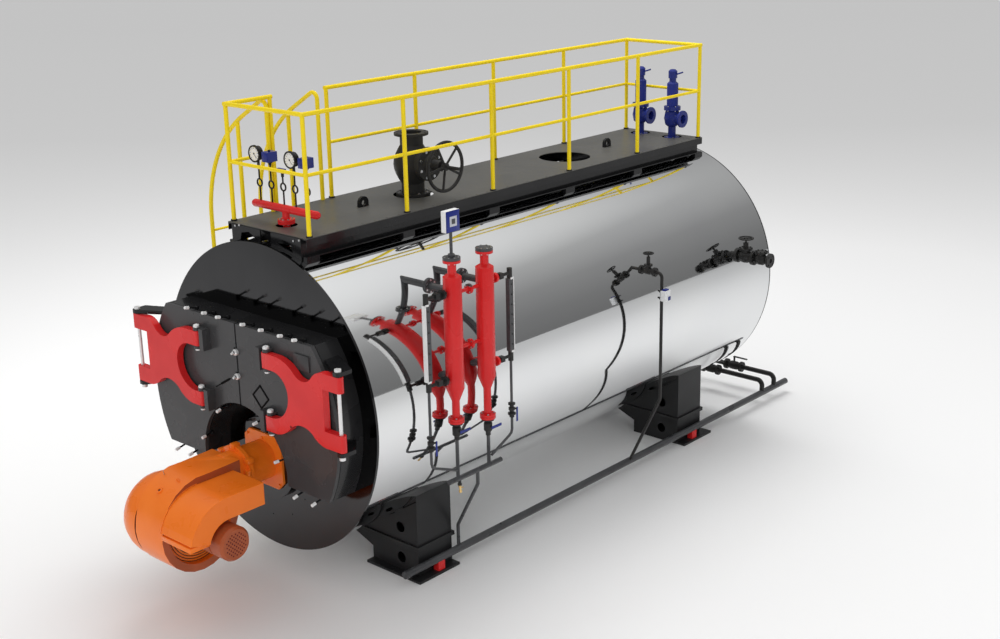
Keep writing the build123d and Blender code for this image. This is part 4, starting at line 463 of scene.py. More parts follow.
@dataclass
class Studio:
    """Pale floor, soft lamps and the surroundings that the bright steel reflects, in metres."""

    floor_reach: float = 160.0
    floor_drop: float = 0.001
    floor_way: Point = (-0.67, 0.742, 0.0)
    floor_ends: Pair = (-6.0, 50.0)
    floor_tones: tuple[Pair, ...] = ((0.0, 0.97), (0.12, 0.93), (0.25, 0.86), (0.5, 0.72), (1.0, 0.69))
    glow: float = 0.12
    glow_reach: Pair = (3.0, 7.0)
    glow_shape: Point = (1.0, 0.6, 0.0)
    sky_tones: tuple[Pair, ...] = (
        (0.0, 0.17), (0.18, 0.2), (0.40, 0.27), (0.58, 0.42), (0.69, 0.72), (0.85, 1.0),
    )
    backdrop: float = 0.56
    fill: float = 0.62
    aim: Point = (0.0, 0.0, 1.6)
    lamps: tuple[Lamp, ...] = (
        Lamp("key_lamp", (-3.0, 3.0, 12.0), 9.0, 900.0),
        Lamp("front_lamp", (6.0, -14.0, 7.0), 6.0, 260.0),
    )

    def build(self) -> None:
        """Make the floor, the lamps and the world."""
        self._floor()
        for lamp in self.lamps:
            self._hang(lamp)
        self._world()
        bpy.context.scene.view_settings.view_transform = "Standard"

    def _floor(self) -> None:
        """Make the round floor."""
        work = bmesh.new()
        bmesh.ops.create_circle(work, cap_ends=True, segments=64, radius=self.floor_reach)
        mesh = bpy.data.meshes.new("studio_floor")
        work.to_mesh(mesh)
        work.free()
        floor = linked("studio_floor", mesh)
        floor.location = (0.0, 0.0, -self.floor_drop)
        mesh.materials.append(self._floor_material())
        floor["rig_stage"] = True

    def _floor_material(self) -> bpy.types.Material:
        """Build the floor's matt material.

        Returns:
            The material: its tone falls off slowly away from the front, and for the camera
            alone it glows a little away from the boiler.
        """
        made = bpy.data.materials.new("studio_floor")
        made.use_nodes = True
        wiring = Wiring(made.node_tree)
        place = wiring.node("ShaderNodeTexCoord").outputs["Object"]
        along = wiring.node("ShaderNodeVectorMath", "DOT_PRODUCT", _0=place, _1=self.floor_way)
        spread = wiring.node("ShaderNodeMapRange", Value=along.outputs["Value"],
                             From_Min=self.floor_ends[0], From_Max=self.floor_ends[1])
        flat = wiring.node("ShaderNodeVectorMath", "MULTIPLY", _0=place, _1=self.glow_shape)
        far = wiring.node("ShaderNodeVectorMath", "LENGTH", _0=flat.outputs["Vector"])
        rise = wiring.node("ShaderNodeMapRange", Value=far.outputs["Value"],
                           From_Min=self.glow_reach[0], From_Max=self.glow_reach[1], To_Max=self.glow)
        path = wiring.node("ShaderNodeLightPath")
        wiring.fill(
            made.node_tree.nodes["Principled BSDF"],
            Base_Color=wiring.ramp(spread.outputs["Result"], [(p, grey(v)) for p, v in self.floor_tones]),
            Roughness=0.9, Specular_IOR_Level=0.0, Emission_Color=(*grey(1.0), 1.0),
            Emission_Strength=wiring.times(rise.outputs["Result"], path.outputs["Is Camera Ray"]),
        )
        return made

    def _hang(self, lamp: Lamp) -> None:
        """Hang a lamp that looks at the boiler and is not seen in its mirror-bright steel."""
        data = bpy.data.lights.new(lamp.title, "AREA")
        data.shape = "SQUARE"
        data.size = lamp.size
        data.energy = lamp.watts
        hung = linked(lamp.title, data)
        hung.location = lamp.place
        way = Vector(self.aim) - Vector(lamp.place)
        hung.rotation_euler = way.to_track_quat("-Z", "Y").to_euler()
        hung.visible_glossy = False

    def _world(self) -> None:
        """Light the boiler evenly, and give bright metal a studio to reflect."""
        world = bpy.data.worlds.new("studio")
        bpy.context.scene.world = world
        world.use_nodes = True
        world.node_tree.nodes.clear()
        wiring = Wiring(world.node_tree)
        way = wiring.node("ShaderNodeTexCoord").outputs["Generated"]
        height = wiring.node("ShaderNodeSeparateXYZ", Vector=way).outputs["Z"]
        sky = wiring.ramp(height, [(p, grey(v)) for p, v in self.sky_tones])
        mirrored = wiring.node("ShaderNodeBackground", Color=sky).outputs["Background"]
        even = wiring.node("ShaderNodeBackground", Color=(*grey(1.0), 1.0), Strength=self.fill)
        behind = wiring.node("ShaderNodeBackground", Color=(*grey(self.backdrop), 1.0))
        path = wiring.node("ShaderNodeLightPath")
        lit = wiring.node("ShaderNodeMixShader", Fac=path.outputs["Is Glossy Ray"],
                          _1=even.outputs["Background"], _2=mirrored)
        seen = wiring.node("ShaderNodeMixShader", Fac=path.outputs["Is Camera Ray"],
                           _1=lit.outputs["Shader"], _2=behind.outputs["Background"])
        wiring.node("ShaderNodeOutputWorld", Surface=seen.outputs["Shader"])


# Shared bench work


class Bench:
    """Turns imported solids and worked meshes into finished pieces."""

    def __init__(self, record: dict) -> None:
        """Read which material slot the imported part's record gives each node."""
        self.count = 0
        self.slots = {item["node"]: item["material_slot"] for item in record["subparts"]}

    def finish_node(
        self, node: str, finish: Finish, edge: float, smooth_angle: float, tints: Sequence[Tint]
    ) -> None:
        """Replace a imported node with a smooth-shaded copy that has eased edges.

        Args:
            node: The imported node's name.
            finish: Its finish.
            edge: Width of the eased edges in millimetres, or nothing for sharp ones.
            smooth_angle: Edges flatter than this, in degrees, are shaded smooth.
            tints: Other finishes for parts of it.
        """
        source = bpy.data.objects[node]
        mesh = source.data.copy()
        mesh.materials.clear()
        work = bmesh.new()
        work.from_mesh(mesh)
        bmesh.ops.remove_doubles(work, verts=work.verts, dist=2e-5)
        bmesh.ops.dissolve_limit(work, angle_limit=math.radians(0.4), verts=work.verts, edges=work.edges)
        work.to_mesh(mesh)
        work.free()
        piece = linked(f"{node}_finished", mesh)
        self._shade(mesh, smooth_angle)
        for each in (finish, *(tint.finish for tint in tints)):
            mesh.materials.append(each.material())
        for polygon in mesh.polygons:
            inside = [n for n, tint in enumerate(tints, 1) if tint.holds(polygon.center)]
            polygon.material_index = inside[0] if inside else 0
        if edge > 0.0:
            self._ease(piece, edge * MM)
        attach(piece, source["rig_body"])
        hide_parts(node)
        self.count += 1
        LOG.info("finished %s", piece.name)

    def add(self, title: str, mesh: bpy.types.Mesh, finish: Finish, slot: Slot, body: Body) -> None:
        """Finish a mesh that is already in its place.

        Args:
            title: The piece's name.
            mesh: Its mesh, in the frame.
            finish: Its finish.
            slot: The record's slot that it stands for; not used.
            body: The body that carries it.
        """
        mesh.materials.clear()
        mesh.materials.append(finish.material())
        for polygon in mesh.polygons:
            polygon.material_index = 0
        self._shade(mesh, SMOOTH_ANGLE)
        piece = linked(title, mesh)
        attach(piece, body.value)
        self.count += 1
        LOG.info("added %s with %d faces", title, len(mesh.polygons))

    def _shade(self, mesh: bpy.types.Mesh, smooth_angle: float) -> None:
        """Shade a mesh smooth, with its sharp edges kept."""
        mesh.shade_smooth()
        mesh.set_sharp_from_angle(angle=math.radians(smooth_angle))

    def _ease(self, piece: bpy.types.Object, width: float) -> None:
        """Ease a piece's sharp edges over a width in metres."""
        bevel = piece.modifiers.new("eased_edges", "BEVEL")
        bevel.width = width
        bevel.segments = 2
        bevel.limit_method = "ANGLE"
        bevel.angle_limit = math.radians(40.0)
        bevel.use_clamp_overlap = True
        bevel.harden_normals = True


@dataclass(frozen=True)
class BoltRing:
    """Hexagon heads that stand up along an axis, evenly round a circle."""

    centre: Point
    axis: Point
    circle: float
    count: int
    head: float = 10.0
    height: float = 9.0


def joint_rings(
    centre: Point, axis: Point, thick: float, circle: float, count: int, head: float
) -> list[BoltRing]:
    """Give the heads on both outer faces of a flanged joint.

    Args:
        centre: The joint's middle.
        axis: Its direction.
        thick: A flange's thickness.
        circle: The bolt circle's radius.
        count: Number of bolts.
        head: A head's radius.

    Returns:
        Two rings of heads.
    """
    rings = []
    for side in (1, -1):
        face = tuple(c + side * thick * a for c, a in zip(centre, axis))
        rings.append(BoltRing(face, tuple(side * a for a in axis), circle, count, head, head * 0.9))
    return rings


class Forge:
    """Makes meshes from sizes in millimetres: turned bars, blocks, and what is repeated."""

    def __init__(self) -> None:
        """Build the three trees that repeat pieces."""
        self._rings = self._ring_tree()
        self._scatter = self._scatter_tree()
        self._discs = self._disc_tree()

    # Mesh code

    def turned(self, outline: Sequence[Pair], place: Matrix, steps: int) -> bpy.types.Mesh:
        """Spin an outline about an axis.

        Args:
            outline: Pairs of radius and distance along the axis.
            place: Where distance nought lies, with Z along the axis.
            steps: Number of faces round the axis.

        Returns:
            The closed mesh, in its place.
        """
        rings = []
        for radius, along in outline:
            ring = [(x, y, along * MM) for x, y in arc(radius * MM, 0.0, 360.0, steps)[:-1]]
            rings.append(ring if radius else ring[:1])
        return self._skinned(rings, place)

    def tube(self, route: Sequence[Sequence[float]], radius: float, sides: int) -> bpy.types.Mesh:
        """Draw a round bar along points of the drawing.

        Args:
            route: The points.
            radius: The bar's radius.
            sides: Number of faces round it.

        Returns:
            The closed mesh, in the frame.
        """
        points = [drawn(point) for point in route]
        circle = arc(radius * MM, 0.0, 360.0, sides)[:-1]
        rings = []
        across = (points[1] - points[0]).orthogonal().normalized()
        for index, point in enumerate(points):
            ahead = (points[min(index + 1, len(points) - 1)] - points[max(index - 1, 0)]).normalized()
            across = (across - ahead * across.dot(ahead)).normalized()
            up = ahead.cross(across)
            rings.append([point + across * a + up * b for a, b in circle])
        return self._skinned(rings, Matrix())

    def block(
        self, low: Point, high: Point, ease: float, place: Callable[[Point], Vector] = drawn
    ) -> bpy.types.Mesh:
        """Make an upright block with eased edges between two corners.

        Args:
            low: Its lowest corner.
            high: Its highest corner.
            ease: Width of the eased edges.
            place: What turns a corner into metres, which is loose for a template.

        Returns:
            The closed mesh, in its place.
        """
        bottom, top = place(low), place(high)
        size = top - bottom
        work = bmesh.new()
        bmesh.ops.create_cube(work, size=1.0)
        work.transform(Matrix.Translation((bottom + top) / 2) @ Matrix.Diagonal((*size, 1.0)))
        bmesh.ops.bevel(work, geom=list(work.edges), offset=min(ease * MM, min(size) * 0.4), segments=2,
                        affect="EDGES", profile=0.5, clamp_overlap=True)
        return self._settled(work, Matrix())

    def joined(self, meshes: Iterable[bpy.types.Mesh]) -> bpy.types.Mesh:
        """Gather meshes into one, in their places, and drop the originals."""
        work = bmesh.new()
        for mesh in meshes:
            work.from_mesh(mesh)
            bpy.data.meshes.remove(mesh)
        return self._written(work)

    def _skinned(self, rings: Sequence[Sequence[Sequence[float]]], place: Matrix) -> bpy.types.Mesh:
        """Close the skin over rings of points, where a ring of one point is a tip."""
        work = bmesh.new()
        corners = [[work.verts.new(point) for point in ring] for ring in rings]
        steps = max(len(ring) for ring in corners)
        for low, high in zip(corners, corners[1:]):
            for k in range(steps):
                after = (k + 1) % steps
                face = tuple(dict.fromkeys((low[k % len(low)], low[after % len(low)],
                                            high[after % len(high)], high[k % len(high)])))
                if len(face) > 2:
                    work.faces.new(face)
        for ring in (corners[0], corners[-1]):
            if len(ring) > 1:
                work.faces.new(ring)
        return self._settled(work, place)

    def _settled(self, work: bmesh.types.BMesh, place: Matrix) -> bpy.types.Mesh:
        """Bring a mesh to its place and point its faces outwards."""
        work.transform(place)
        bmesh.ops.remove_doubles(work, verts=work.verts, dist=1e-6)
        bmesh.ops.recalc_face_normals(work, faces=work.faces)
        return self._written(work)

    def _written(self, work: bmesh.types.BMesh) -> bpy.types.Mesh:
        """Write a worked mesh out."""
        mesh = bpy.data.meshes.new("piece")
        work.to_mesh(mesh)
        work.free()
        return mesh

    # Geometry Nodes

    def bolt_ring(self, ring: BoltRing, finish: Finish) -> bpy.types.Mesh:
        """Set a ring of heads as one mesh, half a step round from the circle's start."""
        mesh = self._rings.run(Count=ring.count, Circle=ring.circle * MM, Head=ring.head * MM,
                               Height=ring.height * MM, Paint=finish.material())
        mesh.transform(at(ring.centre, ring.axis) @ Matrix.Rotation(math.pi / ring.count, 4, "Z"))
        return mesh

    def scatter(
        self, template: bpy.types.Mesh, places: Sequence[Matrix], finish: Finish
    ) -> bpy.types.Mesh:
        """Set copies of a small piece at given places, each turned in its own way.

        Args:
            template: The piece, about its own origin.
            places: Where the copies stand and how they are turned.
            finish: Their finish.

        Returns:
            All of them as one mesh, in its place.
        """
        marks = bpy.data.meshes.new("marks")
        marks.from_pydata([place.translation for place in places], [], [])
        turn = marks.attributes.new("turn", "FLOAT_VECTOR", "POINT")
        for item, place in zip(turn.data, places):
            item.vector = place.to_euler()
        helpers = [linked("marks", marks), linked("sample", template)]
        mesh = self._scatter.run(Marks=helpers[0], Piece=helpers[1], Paint=finish.material())
        for helper in helpers:
            bpy.data.objects.remove(helper)
        return mesh

    def perforations(
        self, place: Matrix, reach: float, pitch: float, hole: float, finish: Finish
    ) -> bpy.types.Mesh:
        """Set small dark discs on a slanting grid inside a circle.

        Args:
            place: The circle's middle, with Z the way that they face.
            reach: The circle's radius.
            pitch: Distance between neighbours.
            hole: A disc's radius.
            finish: Its finish.

        Returns:
            All the discs as one mesh, in its place.
        """
        mesh = self._discs.run(Reach=reach * MM, Pitch=pitch * MM, Hole=hole * MM,
                               Span=int(2.2 * reach / pitch), Paint=finish.material())
        mesh.transform(place)
        return mesh

    def _ring_tree(self) -> RepeatTree:
        """Build the tree that sets hexagon heads with washers round a circle."""
        tree = RepeatTree("bolt_ring", Count="Int", Circle="Float", Head="Float", Height="Float")
        ring = tree.node("GeometryNodeMeshCircle", Vertices=tree.given("Count"), Radius=tree.given("Circle"))
        parts = tree.node("GeometryNodeJoinGeometry")
        for sides, wide, tall in ((6, 1.0, 1.0), (14, 1.25, 0.3)):
            depth = tree.times(tree.given("Height"), tall)
            body = tree.node("GeometryNodeMeshCylinder", Vertices=sides, Depth=depth,
                             Radius=tree.times(tree.given("Head"), wide))
            lift = tree.node("ShaderNodeCombineXYZ", Z=tree.times(depth, 0.5))
            raised = tree.node("GeometryNodeTransform", Geometry=body.outputs["Mesh"],
                               Translation=lift.outputs["Vector"])
            tree.fill(parts, Geometry=raised.outputs["Geometry"])
        tree.repeat(ring.outputs["Mesh"], parts.outputs["Geometry"])
        return tree

    def _scatter_tree(self) -> RepeatTree:
        """Build the tree that sets a piece on marks, turned by the marks' own attribute."""
        tree = RepeatTree("scatter", Marks="Object", Piece="Object")
        marks, piece = (tree.node("GeometryNodeObjectInfo", Object=tree.given(name)).outputs["Geometry"]
                        for name in ("Marks", "Piece"))
        turn = tree.node("GeometryNodeInputNamedAttribute", Name="turn")
        turn.data_type = "FLOAT_VECTOR"
        tree.repeat(marks, piece, Rotation=turn.outputs["Attribute"])
        return tree

    def _disc_tree(self) -> RepeatTree:
        """Build the tree that lays discs on a grid, turned by an eighth, inside a circle."""
        tree = RepeatTree("disc_grid", Reach="Float", Pitch="Float", Hole="Float", Span="Int")
        span = tree.given("Span")
        side = tree.times(tree.given("Pitch"), span)
        grid = tree.node("GeometryNodeMeshGrid", Size_X=side, Size_Y=side, Vertices_X=span, Vertices_Y=span)
        turned = tree.node("GeometryNodeTransform", Geometry=grid.outputs["Mesh"],
                           Rotation=(0.0, 0.0, math.radians(45.0)))
        place = tree.node("GeometryNodeInputPosition").outputs["Position"]
        far = tree.node("ShaderNodeVectorMath", "LENGTH", _0=place).outputs["Value"]
        outside = tree.node("FunctionNodeCompare", "GREATER_THAN", _0=far, _1=tree.given("Reach"))
        kept = tree.node("GeometryNodeDeleteGeometry", Geometry=turned.outputs["Geometry"],
                         Selection=outside.outputs["Result"])
        disc = tree.node("GeometryNodeMeshCylinder", Vertices=10, Depth=MM, Radius=tree.given("Hole"))
        tree.repeat(kept.outputs["Geometry"], disc.outputs["Mesh"])
        return tree


# Sub-assemblies


@dataclass
class SubAssembly:
    """A group of pieces that share a bench and a forge, with sizes in the drawing's millimetres."""

    bench: Bench
    forge: Forge

    def dress(self) -> None:
        """Finish the sub-assembly's nodes and add its small pieces."""
        raise NotImplementedError

    def paint(
        self, finish: Finish, *nodes: str, edge: float = 0.0, smooth_angle: float = SMOOTH_ANGLE,
        tints: Sequence[Tint] = (),
    ) -> None:
        """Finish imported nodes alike, as Bench.finish_node does."""
        for node in nodes:
            self.bench.finish_node(node, finish, edge, smooth_angle, tints)

    def put(
        self, title: str, finish: Finish, slot: Slot, meshes: Iterable[bpy.types.Mesh],
        body: Body = Body.BOILER,
    ) -> None:
        """Join meshes that are in their places and finish them as one piece."""
        self.bench.add(title, self.forge.joined(meshes), finish, slot, body)

    def copies(
        self, title: str, finish: Finish, slot: Slot, template: bpy.types.Mesh, places: Sequence[Matrix],
        body: Body = Body.BOILER,
    ) -> None:
        """Set copies of a template and finish them as one piece."""
        self.bench.add(title, self.forge.scatter(template, places, finish), finish, slot, body)

    def bolts(
        self, title: str, rings: Iterable[BoltRing], finish: Finish = BARE_STEEL, slot: Slot = Slot.STEEL
    ) -> None:
        """Set rings of heads and finish them as one piece."""
        self.put(title, finish, slot, [self.forge.bolt_ring(ring, finish) for ring in rings])

    def heads(
        self, title: str, finish: Finish, slot: Slot, spots: Iterable[Point], axis: Point, size: Pair,
        body: Body = Body.BOILER,
    ) -> None:
        """Set single hexagon heads, all facing one way, and finish them as one piece.

        Args:
            title: The piece's name.
            finish: Its finish.
            slot: The record's slot.
            spots: The heads' places on the face that they stand on.
            axis: The direction in which they stand out.
            size: A head's radius over its corners and its height.
            body: The body that carries them.
        """
        radius, height = size
        template = self.forge.turned(
            [(0, 0), (radius, 0), (radius, 0.8 * height), (0.85 * radius, height), (0, height)], facing(UP), 6
        )
        self.copies(title, finish, slot, template, [at(each, axis) for each in spots], body)

    def lathe(self, outline: Sequence[Pair], centre: Point, axis: Point, steps: int = 40) -> bpy.types.Mesh:
        """Turn an outline about an axis through a point of the drawing."""
        return self.forge.turned(outline, at(centre, axis), steps)

    def pin(self, start: Point, end: Point, radius: float, steps: int = 20) -> bpy.types.Mesh:
        """Make a round bar with chamfered ends between two points of the drawing."""
        way = Vector(end) - Vector(start)
        ease = radius * 0.2
        outline = [(0, 0), (radius - ease, 0), (radius, ease), (radius, way.length - ease),
                   (radius - ease, way.length), (0, way.length)]
        return self.lathe(outline, start, tuple(way), steps)


@dataclass
class Cladding(SubAssembly):
    """The mirror-bright shell with its end plates and flue outlet."""

    cover: Point = (0.0, 6437.0, -578.0)
    cover_circle: float = 308.0
    cover_bolts: int = 16
    cover_head: float = 11.0
    plug: Pair = (7.0, 3.0)
    plugs: tuple[Pair, ...] = ((-28.0, -1182.0), (257.0, -1103.0), (456.0, -893.0))

    def dress(self) -> None:
        """Polish the shell, gloss the front disc and paint the rear end."""
        self.paint(MIRROR_STEEL, "shell", smooth_angle=40.0)
        self.paint(DARK_MIRROR, "front_plate", "rear_plate", edge=2.0)
        self.paint(BLACK_GLOSS, "flue_outlet", edge=1.0)
        self.bolts("rear_cover_bolts",
                   [BoltRing(self.cover, REAR, self.cover_circle, self.cover_bolts, self.cover_head)])
        radius, height = self.plug
        self.put("front_plate_plugs", CASTING_BLACK, Slot.BLACK,
                 [self.pin((x, 0.0, z), (x, -height, z), radius) for x, z in self.plugs])


@dataclass
class Smokebox(SubAssembly):
    """The smokebox's walls, its swing bolts, and the brackets and rods of the door hinges."""

    roof_z: float = 798.0
    floor_z: float = -614.0
    arch_z: float = -578.0
    arch_radius: float = 603.0
    roof_bolts: tuple[float, ...] = (-630.0, -370.0, -165.0, 185.0, 440.0, 697.0, 885.0)
    floor_bolts: tuple[float, ...] = (-985.0, -775.0, 757.0, 1003.0)
    arch_bolts: tuple[float, ...] = (119.3, 163.4, 62.6, 20.6)
    lug: tuple[Point, Point] = ((-15.0, -252.0, -1.0), (15.0, -224.0, 30.0))
    rod: tuple[Point, Point] = ((0.0, -246.0, 16.0), (0.0, -376.0, 46.0))
    rod_radius: float = 9.0
    nut_radius: float = 15.0
    nut_length: float = 46.0
    steps: int = 18

    def dress(self) -> None:
        """Paint the walls and brackets and set the swing bolts round the doors."""
        self.paint(SMOKEBOX_BLACK, "smokebox_roof_and_floor", "smokebox_sides", "smokebox_arch", edge=1.2)
        self.paint(BLACK_GLOSS, "hinge_brackets", edge=3.0)
        self.paint(BRIGHT_ZINC, "hinge_rods", edge=1.0)
        self._swing_bolts()

    def _places(self) -> list[Matrix]:
        """Give the swing bolts' places: a frame on the wall whose Z points away from it."""
        places = [(x, self.roof_z, 90.0) for x in self.roof_bolts]
        places += [(x, self.floor_z, -90.0) for x in self.floor_bolts]
        for angle in self.arch_bolts:
            turn = math.radians(angle)
            x, z = self.arch_radius * math.cos(turn), self.arch_radius * math.sin(turn)
            places.append((x, self.arch_z + z, angle + 180.0))
        return [spot((x, 0.0, z)) @ Matrix.Rotation(math.radians(90.0 - angle), 4, "Y")
                for x, z, angle in places]

    def _swing_bolts(self) -> None:
        """Set a lug, a rod and a nut at every place."""
        start, end = (Vector(point) for point in self.rod)
        place = Matrix.Translation(start * MM) @ facing(end - start)
        length, wide, radius = (end - start).length, self.nut_radius, self.rod_radius
        near, end_face, rod_end = length - self.nut_length, length - 3, length - 2
        lug = self.forge.block(*self.lug, 3.0, loose)
        rod = self.forge.turned([(0, 0), (radius, 0), (radius, rod_end), (0, rod_end)], place, self.steps)
        nut_outline = [(0, near), (wide, near), (wide, end_face), (wide - 3, length), (0, length)]
        nut = self.forge.turned(nut_outline, place, self.steps)
        places = self._places()
        self.copies("swing_bolt_lugs", BLACK_GLOSS, Slot.BLACK, self.forge.joined([lug, rod]), places)
        self.copies("swing_bolt_nuts", DIAL_WHITE, Slot.WHITE, nut, places)


@dataclass
class Doors(SubAssembly):
    """The two smokebox doors with their hinge castings, clamps and small marks."""

    front_y: float = -300.0
    slit: tuple[Pair, Pair] = ((-353.0, 117.0), (-116.0, 252.0))
    slit_radius: float = 5.0
    slit_head: tuple[Pair, Pair] = ((-262.0, 169.0), (-136.0, 241.0))
    slit_head_radius: float = 11.0
    clamp_z: Pair = (531.0, 300.0)
    clamp_face: float = -334.0
    clamp_bolt: float = 11.0
    clamp_nut: Pair = (19.0, 12.0)
    mark: Pair = (304.0, 170.0)
    mark_half: float = 122.0
    cap_x: float = 498.0
    cap_y: float = -357.0
    cap_z: Pair = (700.0, 110.0)
    cap_outline: tuple[Pair, ...] = ((0, 0), (25, 0), (25, 5), (17, 9), (0, 9))
    hole: Point = (813.0, -392.0, 41.0)
    hole_outline: tuple[Pair, ...] = ((0, 0), (11, 0), (11, 1.5), (7, 1.5), (7, 0.8), (0, 0.8))

    def dress(self) -> None:
        """Paint the doors and castings and add the slit, the pins' caps and the clamps' bolts."""
        x, z = self.mark
        mark = Tint(MATT_BLACK, (x - self.mark_half, self.front_y - 7, z - self.mark_half),
                    (x + self.mark_half, self.front_y - 0.5, z + self.mark_half))
        for side in ("left", "right"):
            self.paint(DOOR_GREY, f"door_{side}", edge=2.0, tints=(mark,))
            self.paint(RED_GLOSS, f"hinge_plate_{side}", edge=6.0)
            self.paint(BRIGHT_ZINC, f"door_pins_{side}", edge=1.0)
        self.paint(BRIGHT_ZINC, "seam_clamps", edge=2.0)
        self._slit()
        self._clamp_bolts()
        self._caps()

    def _slit(self) -> None:
        """Add the dark slanted bar on the left door, thicker towards the seam."""
        bars = ((self.slit, self.slit_radius), (self.slit_head, self.slit_head_radius))
        self.put("door_slit", MATT_BLACK, Slot.BLACK, [
            self.pin((start[0], self.front_y, start[1]), (end[0], self.front_y, end[1]), radius)
            for (start, end), radius in bars
        ], Body.DOOR_LEFT)

    def _clamp_bolts(self) -> None:
        """Add the bolt ends and nuts that stick out of the seam clamps."""
        face = self.clamp_face
        self.put("seam_clamp_bolts", BRIGHT_ZINC, Slot.STEEL, [
            self.pin((0.0, face + 2, z), (-4.0, face - 26, z - 6), self.clamp_bolt) for z in self.clamp_z
        ], Body.DOOR_RIGHT)
        self.heads("seam_clamp_nuts", BARE_STEEL, Slot.STEEL, [(0.0, face, z) for z in self.clamp_z],
                   FRONT, self.clamp_nut, Body.DOOR_RIGHT)

    def _caps(self) -> None:
        """Add the white caps on the inner hinge pins and the small hole in the right casting."""
        for side, body, name in ((-1, Body.DOOR_LEFT, "left"), (1, Body.DOOR_RIGHT, "right")):
            self.put(f"pin_caps_{name}", DIAL_WHITE, Slot.WHITE, [
                self.lathe(self.cap_outline, (side * self.cap_x, self.cap_y, z), UP) for z in self.cap_z
            ], body)
        self.put("casting_hole", SLOT_RED, Slot.RED, [self.lathe(self.hole_outline, self.hole, FRONT, 24)],
                 Body.DOOR_RIGHT)


